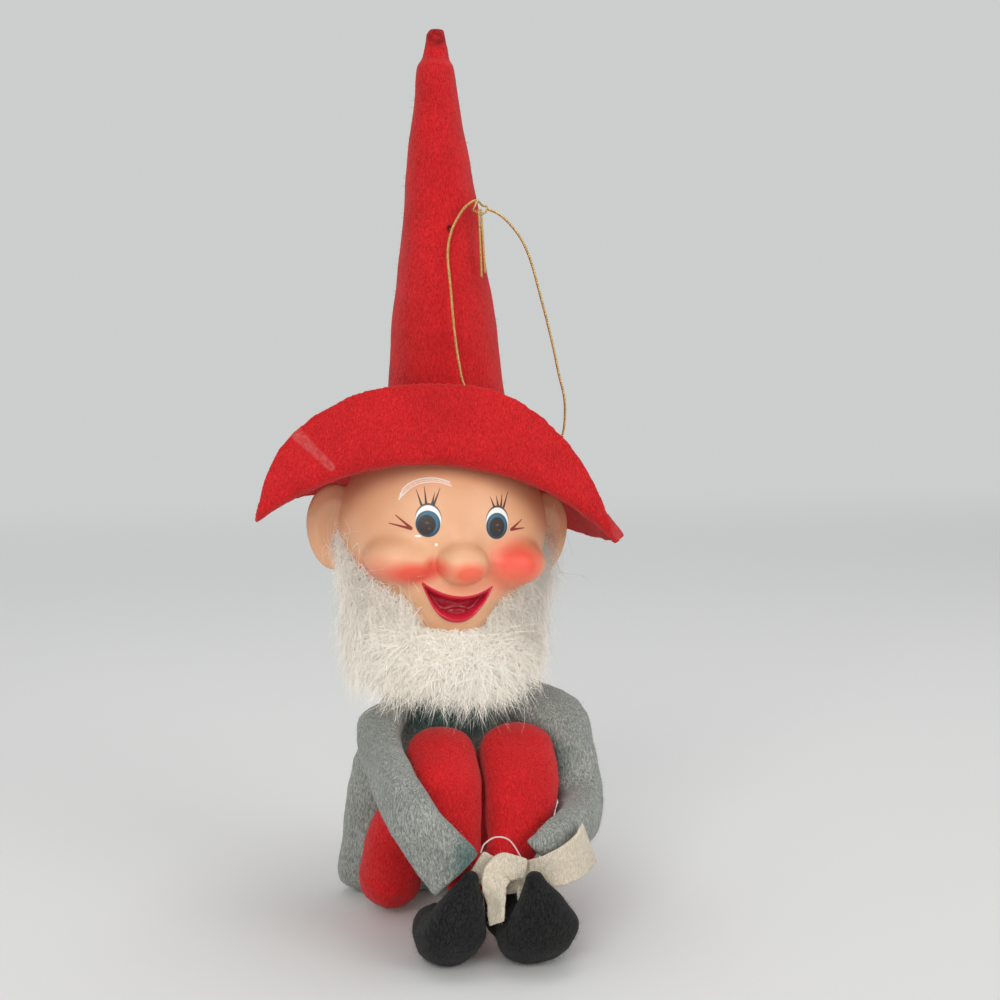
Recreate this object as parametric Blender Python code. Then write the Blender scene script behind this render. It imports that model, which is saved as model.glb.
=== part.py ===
"""A seated felt elf that hugs its knees: a hollow moulded vinyl head, a fur beard, a tall felt hat with
its brim turned up in front, a stuffed felt jacket, trousers, sleeves and boots, felt hands and a gold
hanging cord. The elf faces -Y, +Z is up, and its own right arm is on the -X side."""

import math

import bmesh
import bpy
import numpy as np
from mathutils import Matrix, Vector

MM = 0.001

# Gap kept between pieces that touch
FIT = 0.3 * MM

# Vinyl head: overall size of the skull, neck hole, and how the head is turned and tipped
HEAD_WIDTH = 65 * MM
HEAD_DEPTH = 62 * MM
HEAD_HEIGHT = 64 * MM
HEAD_SET_BACK = 14 * MM
CHIN_HEIGHT = 88 * MM
NECK_HOLE_RADIUS = 9.7 * MM
HEAD_TURN = math.radians(-3)
HEAD_TIP = math.radians(3)
EAR_HALF_WIDTH = 9 * MM
EAR_HALF_DEPTH = 3.4 * MM
EAR_HALF_HEIGHT = 13.5 * MM
EAR_DISH_RADIUS = 8 * MM
MOUTH_HALF_WIDTH = 9.6 * MM
MOUTH_DEPTH = 3 * MM
MOUTH_LIP = 0.9 * MM
NOSE_RADIUS = 7.3 * MM
NOSE_REACH = 2.8 * MM

# Felt hat: the brim is one disc folded up along a line in front of the forehead
FELT_THICKNESS = 1.5 * MM
BRIM_HALF_WIDTH = 64 * MM
BRIM_HALF_DEPTH = 59 * MM
BRIM_HOLE_RADIUS = 16.5 * MM
BRIM_FOLD_REACH = 30.5 * MM
BRIM_FOLD_RADIUS = 3 * MM
BRIM_FRONT_SLOPE = math.radians(-42)
BRIM_FLAP_SLOPE = math.radians(103)
BRIM_SWEEP = 8 * MM
BRIM_CORNER_POWER = 6
BRIM_FRONT_DROOP_RADIUS = 80 * MM
BRIM_REAR_DROOP_RADIUS = 62 * MM
HAT_TURN = math.radians(-10)
HAT_TIP = math.radians(7)
CONE_RADIUS = 20 * MM
CONE_HEIGHT = 112 * MM
CONE_TOP_RADIUS = 5.8 * MM
CONE_LEAN = -2.4 * MM
CONE_OFFSET = 1 * MM
TIP_LENGTH = 11 * MM
TIP_HALF_WIDTH = 2.7 * MM
TIP_HALF_DEPTH = 1.8 * MM

# Fur beard, hung from ear to ear
BEARD_SPAN = math.radians(84)
BEARD_DROP = 21 * MM
BEARD_INNER_RADIUS = 23 * MM
BEARD_OUTER_RADIUS = 37 * MM

# Stuffed jacket body
TORSO_HALF_WIDTH = 31 * MM
TORSO_HALF_DEPTH = 12.5 * MM
SHOULDER_HALF_WIDTH = 20 * MM
SHOULDER_HEIGHT = 70 * MM
NECK_INSERTION = 9 * MM

# Stuffed trouser legs, drawn up so that the knees stand in front of the chest
KNEE_HEIGHT = 63.5 * MM
KNEE_HALF_WIDTH = 10.9 * MM
KNEE_HALF_DEPTH = 8 * MM
HIP_RADIUS = 9.6 * MM
HIP_SPREAD = 19 * MM
SEAT_LIFT = 2 * MM
ANKLE_RADIUS = 5.2 * MM
ANKLE_HEIGHT = 20 * MM
KNEE_SPLIT = 3.3 * MM
FOOT_SPLIT = -1 * MM
KNEE_REACH = 30.5 * MM
THIGH_END_SHARE = 0.93
ANKLE_REACH = 49 * MM

# Flat stuffed sleeves and cut felt hands
SLEEVE_HALF_WIDTH = 9 * MM
SLEEVE_HALF_THICKNESS = 4.4 * MM
HAND_THICKNESS = 1.2 * MM
HAND_HALF_WIDTH = 6.5 * MM

# Black felt boots with the toes curled up
BOOT_HALF_WIDTH_RIGHT = 9.6 * MM
BOOT_HALF_WIDTH_LEFT = 11.4 * MM
BOOT_HALF_HEIGHT = 8.4 * MM
BOOT_TOE_HEIGHT = 29.5 * MM
SHAFT_STEP = 4.8 * MM
HEEL_RIGHT = (-13.5 * MM, -32.5 * MM)
TOE_RIGHT = (-12 * MM, -44.5 * MM)
TIP_RIGHT = (-8 * MM, -46.5 * MM)
HEEL_LEFT = (10.8 * MM, -37 * MM)
TOE_LEFT = (11.8 * MM, -49.2 * MM)
TIP_LEFT = (9 * MM, -51.8 * MM)

# Gold hanging cord with its knot, and the sewing thread between the hands
CORD_RADIUS = 0.45 * MM
KNOT_RADIUS = 1.6 * MM
CORD_TAIL = 20 * MM
THREAD_RADIUS = 0.25 * MM

# Points round and along the lofted pieces
SEGMENTS = 16
FACE_SEGMENTS = 44

X_AXIS = Vector((1, 0, 0))
Z_AXIS = Vector((0, 0, 1))


def material(name, colour, roughness):
    finish = bpy.data.materials.new(name)
    finish.use_nodes = True
    shader = finish.node_tree.nodes["Principled BSDF"]
    shader.inputs["Base Color"].default_value = (*colour, 1)
    shader.inputs["Roughness"].default_value = roughness
    shader.inputs["Metallic"].default_value = 1.0 if name == "gold_cord" else 0.0
    finish.diffuse_color = (*colour, 1)
    return finish


def solid(name, mesh, finish):
    """Puts a finished bmesh in the scene as one smooth-shaded object."""
    bmesh.ops.recalc_face_normals(mesh, faces=mesh.faces)
    data = bpy.data.meshes.new(name)
    mesh.to_mesh(data)
    mesh.free()
    data.materials.append(finish)
    data.shade_smooth()
    piece = bpy.data.objects.new(name, data)
    bpy.context.scene.collection.objects.link(piece)
    return piece


def skin(rings):
    """A closed skin over rings of points. A ring of one point is a pole, and a full end ring is capped."""
    mesh = bmesh.new()
    rows = [[mesh.verts.new(point) for point in ring] for ring in rings]
    for low, high in zip(rows, rows[1:]):
        count = max(len(low), len(high))
        for i in range(count):
            j = (i + 1) % count
            corners = []
            corners += [low[0]] if len(low) == 1 else [low[i], low[j]]
            corners += [high[0]] if len(high) == 1 else [high[j], high[i]]
            mesh.faces.new(corners)
    for row in (rows[0], rows[-1]):
        if len(row) > 1:
            mesh.faces.new(row)
    return mesh


def curve_through(keys, count):
    """Rows of numbers read from a smooth curve through the key rows."""
    keys = np.array(keys, float)
    spans = len(keys) - 1
    padded = np.vstack([2 * keys[0] - keys[1], keys, 2 * keys[-1] - keys[-2]])
    rows = []
    for at in np.linspace(0, spans, count):
        span = min(int(at), spans - 1)
        t = at - span
        a, b, c, d = padded[span : span + 4]
        rows.append(
            0.5 * (2 * b + (c - a) * t + (2 * a - 5 * b + 4 * c - d) * t**2 + (3 * b - a - 3 * c + d) * t**3)
        )
    return np.array(rows)


def section(centre, side, up, half_side, half_up, power, count=SEGMENTS):
    """A superellipse ring: power 2 is an ellipse, and more is squarer."""
    ring = []
    for i in range(count):
        c, s = math.cos(math.tau * i / count), math.sin(math.tau * i / count)
        ring.append(
            centre
            + side * math.copysign(abs(c) ** (2 / power), c) * half_side
            + up * math.copysign(abs(s) ** (2 / power), s) * half_up
        )
    return ring


def stuffed_tube(keys, count, power=2.2, round_start=True, round_end=True, segments=SEGMENTS):
    """Rings of a tube through keys of (centre, normal, half width, half thickness).
    The normal is the direction in which the tube is thin."""
    rows = curve_through([(*centre, *normal, wide, thick) for centre, normal, wide, thick in keys], count)
    centres = [Vector(row[:3]) for row in rows]
    rings = []
    for i, row in enumerate(rows):
        along = (centres[min(i + 1, count - 1)] - centres[max(i - 1, 0)]).normalized()
        normal = Vector(row[3:6])
        normal = (normal - along * normal.dot(along)).normalized()
        side = along.cross(normal)
        rings.append((centres[i], along, side, normal, row[6], row[7]))
    shown = [section(c, side, normal, wide, thick, power, segments) for c, _, side, normal, wide, thick in rings]
    for at_start in (True, False):
        if not (round_start if at_start else round_end):
            continue
        centre, along, side, normal, wide, thick = rings[0 if at_start else -1]
        outward = -along if at_start else along
        dome = []
        for angle in (math.radians(30), math.radians(58), math.radians(78)):
            middle = centre + outward * thick * math.sin(angle)
            shrink = math.cos(angle)
            dome.append(section(middle, side, normal, wide * shrink, thick * shrink, power, segments))
        dome.append([centre + outward * thick])
        shown = dome[::-1] + shown if at_start else shown + dome
    return shown


def stand_on(mesh, height=0):
    """Presses whatever would reach below a height flat against it."""
    for vertex in mesh.verts:
        vertex.co.z = max(vertex.co.z, height)


def boolean(piece, other, operation):
    """Joins or cuts a piece with another object, which is then gone."""
    step = piece.modifiers.new(operation, "BOOLEAN")
    step.operation = operation
    step.object = other
    bpy.context.view_layer.update()
    made = bpy.data.meshes.new_from_object(piece.evaluated_get(bpy.context.evaluated_depsgraph_get()))
    piece.modifiers.clear()
    piece.data = made
    bpy.data.objects.remove(other)
    made.shade_smooth()


# Head shape, in the head's own axes with its face towards -Y

HEAD_RADII = np.array([HEAD_WIDTH, HEAD_DEPTH, HEAD_HEIGHT]) / 2
HEAD_CENTRE = Vector((0, HEAD_SET_BACK, CHIN_HEIGHT + HEAD_HEIGHT / 2))
HEAD_PLACE = (
    Matrix.Translation(HEAD_CENTRE) @ Matrix.Rotation(HEAD_TURN, 4, "Z") @ Matrix.Rotation(HEAD_TIP, 4, "Y")
)
NOSE_SHARE = (0, -1.0, -0.22)
BLEND_SOFT = 4.5 * MM
BLEND_CREASE = 1.8 * MM


def share_of_head(x, y, z):
    return np.array([x, y, z]) * HEAD_RADII


def soft_least(a, b, blend):
    """The lesser of two distances, with a fillet of the blend's width between the surfaces."""
    near = np.maximum(blend - np.abs(a - b), 0) / blend
    return np.minimum(a, b) - near * near * blend / 4


def ellipsoid(points, centre, radii):
    scaled = (points - centre) / radii
    size = np.linalg.norm(scaled, axis=-1)
    slope = np.linalg.norm(scaled / radii, axis=-1)
    return size * (size - 1) / np.maximum(slope, 1e-9)


def head_distance(points):
    """How far points are outside the head: skull, muzzle, chin, cheeks, then the round nose."""
    shape = ellipsoid(points, np.zeros(3), HEAD_RADII)
    muzzle = ellipsoid(points, share_of_head(0, -0.66, -0.54), share_of_head(0.42, 0.33, 0.28))
    chin = ellipsoid(points, share_of_head(0, -0.6, -0.79), share_of_head(0.34, 0.27, 0.2))
    shape = soft_least(soft_least(shape, muzzle, BLEND_SOFT), chin, BLEND_SOFT)
    for side in (-1, 1):
        cheek = ellipsoid(points, share_of_head(0.49 * side, -0.66, -0.29), share_of_head(0.4, 0.36, 0.29))
        shape = soft_least(shape, cheek, BLEND_SOFT)
    nose_centre = share_of_head(*NOSE_SHARE) - np.array([0, NOSE_REACH - 1 * MM, 0])
    nose = ellipsoid(points, nose_centre, np.full(3, NOSE_RADIUS))
    return soft_least(shape, nose, BLEND_CREASE)


def outermost(start, direction, far):
    """Distance along each direction at which it last leaves the head, by halving."""
    steps = np.linspace(far, 0, 80)
    low, high = np.zeros(len(direction)), np.full(len(direction), far)
    found = np.zeros(len(direction), bool)
    for outer, inner in zip(steps, steps[1:]):
        enters = ~found & (head_distance(start + direction * inner) < 0)
        low[enters], high[enters] = inner, outer
        found |= enters
    for _ in range(18):
        middle = (low + high) / 2
        inside = head_distance(start + direction * middle[:, None]) < 0
        low, high = np.where(inside, middle, low), np.where(inside, high, middle)
    return np.where(found, (low + high) / 2, 0)


def smooth_step(value):
    value = np.clip(value, 0, 1)
    return value * value * (3 - 2 * value)


def mouth_hollow(points):
    """Depth of the open smiling mouth at points on the face."""
    across = points[:, 0] / MOUTH_HALF_WIDTH
    upper = (-0.6 + 0.1 * across**2) * HEAD_RADII[2]
    lower = (-0.83 + 0.33 * across**2) * HEAD_RADII[2]
    inside = np.minimum(upper - points[:, 2], points[:, 2] - lower)
    return MOUTH_DEPTH * smooth_step(inside / MOUTH_LIP) * (points[:, 1] < 0)


def head_rings():
    """Rings of the face and skull round the axis through the nose, closer together on the face."""
    face = np.radians(np.concatenate([np.arange(3.5, 70, 3.5), np.arange(74, 174, 9)]))
    rings = []
    for polar in [0, *face, math.pi]:
        turns = [0] if polar in (0, math.pi) else np.arange(FACE_SEGMENTS) * math.tau / FACE_SEGMENTS
        directions = np.array(
            [[math.sin(polar) * math.cos(t), -math.cos(polar), math.sin(polar) * math.sin(t)] for t in turns]
        )
        reach = outermost(np.zeros(3), directions, 1.6 * HEAD_RADII.max())
        surface = directions * reach[:, None]
        surface -= directions * mouth_hollow(surface)[:, None]
        rings.append([HEAD_PLACE @ Vector(point) for point in surface])
    return rings


def ear(side, finish):
    """A flat oval ear whose front is dished, standing out from the side of the head."""
    mesh = bmesh.new()
    bmesh.ops.create_uvsphere(mesh, u_segments=24, v_segments=14, radius=1)
    centre = Vector((side * (HEAD_RADII[0] + 0.1 * EAR_HALF_WIDTH), 3 * MM, -1.5 * MM))
    for vertex in mesh.verts:
        point = vertex.co.copy()
        point.x *= EAR_HALF_WIDTH * (1 + 0.12 * point.z)
        point.y *= EAR_HALF_DEPTH
        point.z *= EAR_HALF_HEIGHT
        middle = Vector((point.x, 0, point.z)).length
        if point.y < 0:
            point.y += 0.75 * EAR_HALF_DEPTH * math.exp(-((middle / EAR_DISH_RADIUS) ** 2))
        vertex.co = HEAD_PLACE @ (centre + Matrix.Rotation(side * math.radians(14), 3, "Z") @ point)
    return solid("ear", mesh, finish)


def make_head(finish):
    """The moulded head with its ears, and the socket that the neck goes up into."""
    head = solid("head", skin(head_rings()), finish)
    for side in (-1, 1):
        boolean(head, ear(side, finish), "UNION")
    mesh = bmesh.new()
    depth = 2 * (NECK_INSERTION + 4 * FIT)
    bmesh.ops.create_cone(
        mesh, cap_ends=True, segments=28, radius1=NECK_HOLE_RADIUS, radius2=NECK_HOLE_RADIUS, depth=depth
    )
    mesh.transform(Matrix.Translation((0, HEAD_SET_BACK, CHIN_HEIGHT)))
    boolean(head, solid("neck_hole", mesh, finish), "DIFFERENCE")
    return head


# Brim: a flat disc measured as (across, back) from its middle, bent over the head

BRIM_REST = HEAD_RADII[2] - 0.9 * MM
FOLD_ARC = BRIM_FOLD_RADIUS * (BRIM_FLAP_SLOPE - BRIM_FRONT_SLOPE)
HAT_PLACE = (
    Matrix.Translation(HEAD_CENTRE) @ Matrix.Rotation(HAT_TURN, 4, "Z") @ Matrix.Rotation(HAT_TIP, 4, "Y")
)


def slope_at(forward):
    """Slope of the brim's middle line at a distance forward of the disc's middle."""
    if forward < 0:
        return -forward / (68 * MM)
    if forward < BRIM_FOLD_REACH:
        return BRIM_FRONT_SLOPE * (forward / BRIM_FOLD_REACH) ** 1.3
    turned = min((forward - BRIM_FOLD_REACH) / FOLD_ARC, 1)
    past = max(forward - BRIM_FOLD_REACH - FOLD_ARC, 0)
    return BRIM_FRONT_SLOPE + (BRIM_FLAP_SLOPE - BRIM_FRONT_SLOPE) * turned + 0.2 * past / BRIM_FOLD_REACH


def middle_line():
    """The brim's middle line, front to back, as distance, -Y and Z, by adding up short steps."""
    step = 0.25 * MM
    front, back = [(0.0, 0.0, 0.0)], [(0.0, 0.0, 0.0)]
    while front[-1][0] < BRIM_HALF_DEPTH + BRIM_FOLD_REACH:
        at, y, z = front[-1]
        slope = slope_at(at + step / 2)
        front.append((at + step, y - step * math.cos(slope), z + step * math.sin(slope)))
    while back[-1][0] > -1.2 * BRIM_HALF_DEPTH:
        at, y, z = back[-1]
        slope = slope_at(at - step / 2)
        back.append((at - step, y + step * math.cos(slope), z - step * math.sin(slope)))
    return np.array(back[:0:-1] + front)


MIDDLE_LINE = middle_line()


def brim_point(across, forward, above):
    """A point on the brim, or above its middle surface by a distance measured square to it."""
    y = np.interp(forward, MIDDLE_LINE[:, 0], MIDDLE_LINE[:, 1])
    z = np.interp(forward, MIDDLE_LINE[:, 0], MIDDLE_LINE[:, 2])
    slope = slope_at(forward)
    in_front = smooth_step(forward / BRIM_FOLD_REACH)
    droop_radius = BRIM_REAR_DROOP_RADIUS + (BRIM_FRONT_DROOP_RADIUS - BRIM_REAR_DROOP_RADIUS) * in_front
    bend = across / droop_radius
    sweep = BRIM_SWEEP * in_front * (across / BRIM_HALF_WIDTH) ** 2
    up = Vector((math.sin(bend) * math.cos(slope), math.sin(slope), math.cos(slope) * math.cos(bend)))
    place = Vector(
        (droop_radius * math.sin(bend), y + sweep, BRIM_REST + z - droop_radius * (1 - math.cos(bend)))
    )
    return HAT_PLACE @ (place + up.normalized() * above)


def brim_half_chord(side, forward):
    """Half the width of the cut disc at a distance forward. It is squarer at the wearer's front right."""
    power = BRIM_CORNER_POWER if side < 0 < forward else 2.1
    return BRIM_HALF_WIDTH * (1 - abs(forward / BRIM_HALF_DEPTH) ** power) ** (1 / power)


def make_brim(finish):
    """The disc as rows across it, packed closer at the fold, with a top and an underside."""
    fold_end = BRIM_FOLD_REACH + FOLD_ARC
    rows = np.concatenate(
        [
            BRIM_HALF_DEPTH * np.sin(np.linspace(-1.47, -0.3, 9)),
            np.linspace(-0.16 * BRIM_HALF_DEPTH, BRIM_FOLD_REACH, 6),
            np.linspace(BRIM_FOLD_REACH, fold_end, 8)[1:],
            np.linspace(fold_end, 0.94 * BRIM_HALF_DEPTH, 6)[1:],
            [0.975 * BRIM_HALF_DEPTH, 0.995 * BRIM_HALF_DEPTH],
        ]
    )
    columns = np.sin(np.linspace(-math.pi / 2, math.pi / 2, 23))
    half = FELT_THICKNESS / 2
    top, under = [], []
    for forward in rows:
        across = [c * brim_half_chord(-1 if c < 0 else 1, forward) for c in columns]
        top.append([brim_point(a, forward, half) for a in across])
        under.append([brim_point(a, forward, -half) for a in across])
    rings = [upper + lower[::-1] for upper, lower in zip(top, under)]
    brim = solid("hat_brim", skin(rings), finish)
    mesh = bmesh.new()
    bmesh.ops.create_cone(
        mesh, cap_ends=True, segments=32, radius1=BRIM_HOLE_RADIUS, radius2=BRIM_HOLE_RADIUS, depth=HEAD_HEIGHT / 2
    )
    mesh.transform(HAT_PLACE @ Matrix.Translation((0, 0, BRIM_REST)))
    boolean(brim, solid("crown_hole", mesh, finish), "DIFFERENCE")
    return brim


def brim_ring(radius, above, count):
    """A ring on the brim's upper side, round the crown."""
    angles = [math.tau * i / count for i in range(count)]
    return [brim_point(radius * math.cos(a), -radius * math.sin(a), FELT_THICKNESS / 2 + above) for a in angles]


def cone_ring(height, radius, depth, lean, count):
    """A level ring of the cone, whose axis leans a little to the wearer's right."""
    angles = [math.tau * i / count for i in range(count)]
    turn = Matrix.Rotation(HAT_TURN, 4, "Z")
    middle = HEAD_CENTRE + Z_AXIS * height
    return [middle + turn @ Vector((lean + radius * math.cos(a), depth * math.sin(a), 0)) for a in angles]


def make_cone(finish):
    """A tall stuffed felt cone with its foot on the brim and its pinched tip folded in."""
    count = 28
    foot = BRIM_REST + 7 * MM
    crown = BRIM_REST + CONE_HEIGHT - 2 * MM
    rings = [[brim_point(0, 0, FELT_THICKNESS + 3 * FIT)], brim_ring(0.8 * CONE_RADIUS, 3 * FIT, count)]
    rings.append(brim_ring(CONE_RADIUS, FIT, count))
    low_radius = 0.94 * CONE_RADIUS
    for share in np.linspace(0, 1, 9):
        radius = low_radius + (CONE_TOP_RADIUS - low_radius) * share + 0.5 * MM * math.sin(math.pi * share)
        lean = CONE_OFFSET + CONE_LEAN * share
        rings.append(cone_ring(foot + (crown - foot) * share, radius, radius, lean, count))
    narrow = CONE_TOP_RADIUS - 1.1 * MM
    lean = CONE_OFFSET + CONE_LEAN
    rings.append(cone_ring(crown + 0.8 * MM, narrow, narrow * 0.9, lean, count))
    for share in (0.35, 0.7, 1):
        wide = narrow + (TIP_HALF_WIDTH - narrow) * share
        deep = 0.9 * narrow + (TIP_HALF_DEPTH - 0.9 * narrow) * share
        rings.append(cone_ring(crown + TIP_LENGTH * share, wide, deep, lean, count))
    return solid("hat_cone", skin(rings), finish)


# Beard


def head_reach(angle, height):
    """How far the face reaches from the head's upright axis, at an angle from straight ahead."""
    direction = np.array([[math.sin(angle), -math.cos(angle), 0]])
    return outermost(np.array([0, 0, height]), direction, 1.6 * HEAD_RADII.max())[0]


def make_beard(finish):
    """A fur strip glued along the jaw, with its pile standing well out and hanging below the chin."""
    chin = -0.86 * HEAD_RADII[2]
    rings = []
    for angle in np.linspace(-BEARD_SPAN, BEARD_SPAN, 25):
        away = abs(angle) / BEARD_SPAN
        top = (-0.9 + 0.72 * away**2.2) * HEAD_RADII[2]
        low = -HEAD_RADII[2] - BEARD_DROP * (1 - smooth_step((away - 0.3) / 0.6) * 0.6)
        ring = []
        for share in np.linspace(0, 1, 11):
            height = top + (low - top) * share
            edge = head_reach(angle, top) + 1.8 * MM
            full = max(BEARD_OUTER_RADIUS, head_reach(angle, max(height, chin)) + 3 * MM)
            full *= (1 - 0.28 * share**3) * (1 - 0.05 * away)
            ring.append((edge + (full - edge) * smooth_step(share / 0.35) ** 0.7, height))
        for share in np.linspace(1, 0, 11):
            height = top + (low - top) * share
            under_chin = smooth_step((-0.84 - height / HEAD_RADII[2]) / 0.3)
            face = head_reach(angle, min(height + 2 * MM * under_chin + 0.5 * MM, 0))
            ring.append((max(face, BEARD_INNER_RADIUS * under_chin) + 2.6 * FIT, height))
        rings.append([HEAD_PLACE @ Vector((r * math.sin(angle), -r * math.cos(angle), h)) for r, h in ring])
    return solid("beard", skin(rings), finish)


# Jacket body

TORSO_FRONT = 17.5 * MM


def torso_rows():
    """Height, middle, half width and half depth up the jacket, then up the neck inside the head."""
    waist_back = TORSO_FRONT + TORSO_HALF_DEPTH
    neck = NECK_HOLE_RADIUS - 1.1 * MM
    return [
        (0, waist_back - 1 * MM, 0.8 * TORSO_HALF_WIDTH, 0.55 * TORSO_HALF_DEPTH),
        (5 * MM, waist_back - 1 * MM, 1.02 * TORSO_HALF_WIDTH, 0.9 * TORSO_HALF_DEPTH),
        (0.3 * SHOULDER_HEIGHT, waist_back - 2.4 * MM, TORSO_HALF_WIDTH, TORSO_HALF_DEPTH),
        (0.62 * SHOULDER_HEIGHT, waist_back - 6 * MM, 0.9 * TORSO_HALF_WIDTH, TORSO_HALF_DEPTH),
        (0.86 * SHOULDER_HEIGHT, HEAD_SET_BACK, 1.1 * SHOULDER_HALF_WIDTH, 0.93 * TORSO_HALF_DEPTH),
        (SHOULDER_HEIGHT, HEAD_SET_BACK, SHOULDER_HALF_WIDTH, 0.84 * TORSO_HALF_DEPTH),
        (SHOULDER_HEIGHT + 7 * MM, HEAD_SET_BACK, 0.66 * SHOULDER_HALF_WIDTH, 1.05 * neck),
        (CHIN_HEIGHT - 5 * MM, HEAD_SET_BACK, neck, neck),
        (CHIN_HEIGHT + NECK_INSERTION, HEAD_SET_BACK, neck, neck),
    ]


def make_torso(finish):
    rows = curve_through(torso_rows(), 22)
    rings = [section(Vector((0, y, z)), X_AXIS, Vector((0, 1, 0)), w, d, 2.5, 28) for z, y, w, d in rows]
    mesh = skin(rings)
    stand_on(mesh)
    return solid("jacket_body", mesh, finish)


# Trouser legs

KNEE_Y = HEAD_SET_BACK - KNEE_REACH
ANKLE_Y = HEAD_SET_BACK - ANKLE_REACH
ANKLE_NORMAL = (0, -1, 0)


def split_at(height):
    """X of the line between the two legs, which leans across from the feet to the knees."""
    share = (height - ANKLE_HEIGHT) / (KNEE_HEIGHT - ANKLE_HEIGHT)
    return FOOT_SPLIT + (KNEE_SPLIT - FOOT_SPLIT) * min(max(share, 0), 1)


KNEE_KEY = 3


def leg_keys(side):
    """Thigh up from the hip, over the knee and down the shin to the ankle."""
    wide = KNEE_HALF_WIDTH + (0.9 * MM if side > 0 else 0)

    def beside(height, half):
        return split_at(height) + side * (half + FIT)

    knee_top = KNEE_HEIGHT - KNEE_HALF_DEPTH
    hip_y = TORSO_FRONT - FIT - 1.06 * HIP_RADIUS
    down = knee_top - 9 * MM
    shin = (down + ANKLE_HEIGHT) / 2
    shin_wide = (wide + ANKLE_RADIUS) / 2 + 0.6 * MM
    return [
        ((side * HIP_SPREAD, hip_y, HIP_RADIUS + SEAT_LIFT), (0, 0.3, -1), 1.04 * HIP_RADIUS, HIP_RADIUS),
        ((side * 0.86 * HIP_SPREAD, hip_y - 4.5 * MM, 0.5 * knee_top), (0, 1, 0.3), 1.02 * HIP_RADIUS, 0.88 * HIP_RADIUS),
        ((beside(knee_top, wide), KNEE_Y + 8.5 * MM, down), (0, 1, 0.5), 0.96 * wide, KNEE_HALF_DEPTH),
        ((beside(knee_top, wide), KNEE_Y, knee_top), (0, 0, 1), wide, KNEE_HALF_DEPTH),
        ((beside(down, wide), KNEE_Y - 8.5 * MM, down), (0, -1, 0.5), wide, KNEE_HALF_DEPTH),
        ((beside(shin, shin_wide), (KNEE_Y + ANKLE_Y) / 2 - 5 * MM, shin), (0, -1, 0.3), shin_wide, 0.82 * KNEE_HALF_DEPTH),
        *[
            ((beside(ANKLE_HEIGHT, ANKLE_RADIUS), ANKLE_Y, ANKLE_HEIGHT + rise), ANKLE_NORMAL, ANKLE_RADIUS, ANKLE_RADIUS)
            for rise in (7 * MM, 0)
        ],
    ]


def make_leg(name, side, finish):
    """The thigh ends inside the rounded top of the shin, which is the knee."""
    keys = leg_keys(side)
    centre, normal, wide, thick = keys[KNEE_KEY]
    thigh = [*keys[:KNEE_KEY], (centre, normal, THIGH_END_SHARE * wide, THIGH_END_SHARE * thick)]
    upper = skin(stuffed_tube(thigh, 14, power=2.3))
    stand_on(upper)
    leg = solid(name, upper, finish)
    lower = skin(stuffed_tube(keys[KNEE_KEY:], 14, power=2.3, round_end=False))
    stand_on(lower, ANKLE_HEIGHT)
    boolean(leg, solid("shin", lower, finish), "UNION")


def shin_support(side, height, angle, half_thickness):
    """Where a flat strip lies against a shin: its middle, and the direction out of the shin, which is
    an angle from sideways towards the front."""
    rows = [row for row in leg_keys(side) if row[0][1] < KNEE_Y]
    heights = [row[0][2] for row in rows][::-1]
    x, y, wide, thick = (
        np.interp(height, heights, column[::-1])
        for column in ([r[0][0] for r in rows], [r[0][1] for r in rows], [r[2] for r in rows], [r[3] for r in rows])
    )
    across, ahead = side * math.cos(angle), -math.sin(angle)
    reach = 1.06 * math.hypot(wide * across, 1.1 * thick * ahead) + half_thickness + 1.5 * FIT
    return (x + across * reach, y + ahead * reach, height), (across, ahead, 0)


# Boots


def make_boot(name, side, half_width, heel, toe, tip, finish):
    """A felt boot from the ankle down to the heel, along the sole, then up to its curled toe.
    The heel, toe and tip are places in X and Y."""
    ankle_x = split_at(ANKLE_HEIGHT) + side * (ANKLE_RADIUS + FIT)
    start = ANKLE_HEIGHT - FIT
    low = BOOT_HALF_HEIGHT - 0.4 * MM
    middle = (0.45 * heel[0] + 0.55 * toe[0], 0.45 * heel[1] + 0.55 * toe[1])
    curl = (0.5 * (toe[0] + tip[0]), 0.5 * (toe[1] + tip[1]) - 1.5 * MM)
    shaft_keys = [
        ((ankle_x, ANKLE_Y, start - drop * SHAFT_STEP), ANKLE_NORMAL, ANKLE_RADIUS, ANKLE_RADIUS)
        for drop in (0, 1, 2)
    ]
    foot_keys = [
        ((*heel, low), (0, -0.15, 1), 0.82 * half_width, 0.97 * BOOT_HALF_HEIGHT),
        ((*middle, low + 0.6 * MM), (0, -0.1, 1), half_width, BOOT_HALF_HEIGHT),
        ((*toe, low + 4.5 * MM), (0, 0.6, 1), 0.97 * half_width, 0.85 * BOOT_HALF_HEIGHT),
        ((*curl, 0.68 * BOOT_TOE_HEIGHT), (0, 1, 0.3), 0.68 * half_width, 0.56 * BOOT_HALF_HEIGHT),
        ((*tip, BOOT_TOE_HEIGHT - 2.2 * MM), (0, 1, -0.2), 0.27 * half_width, 0.27 * BOOT_HALF_HEIGHT),
    ]
    foot = skin(stuffed_tube(foot_keys, 18, power=2.1))
    stand_on(foot)
    boot = solid(name, foot, finish)
    shaft = skin(stuffed_tube(shaft_keys, 5, power=2.1, round_start=False))
    boolean(boot, solid("shaft", shaft, finish), "UNION")


# Sleeves and hands


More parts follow.
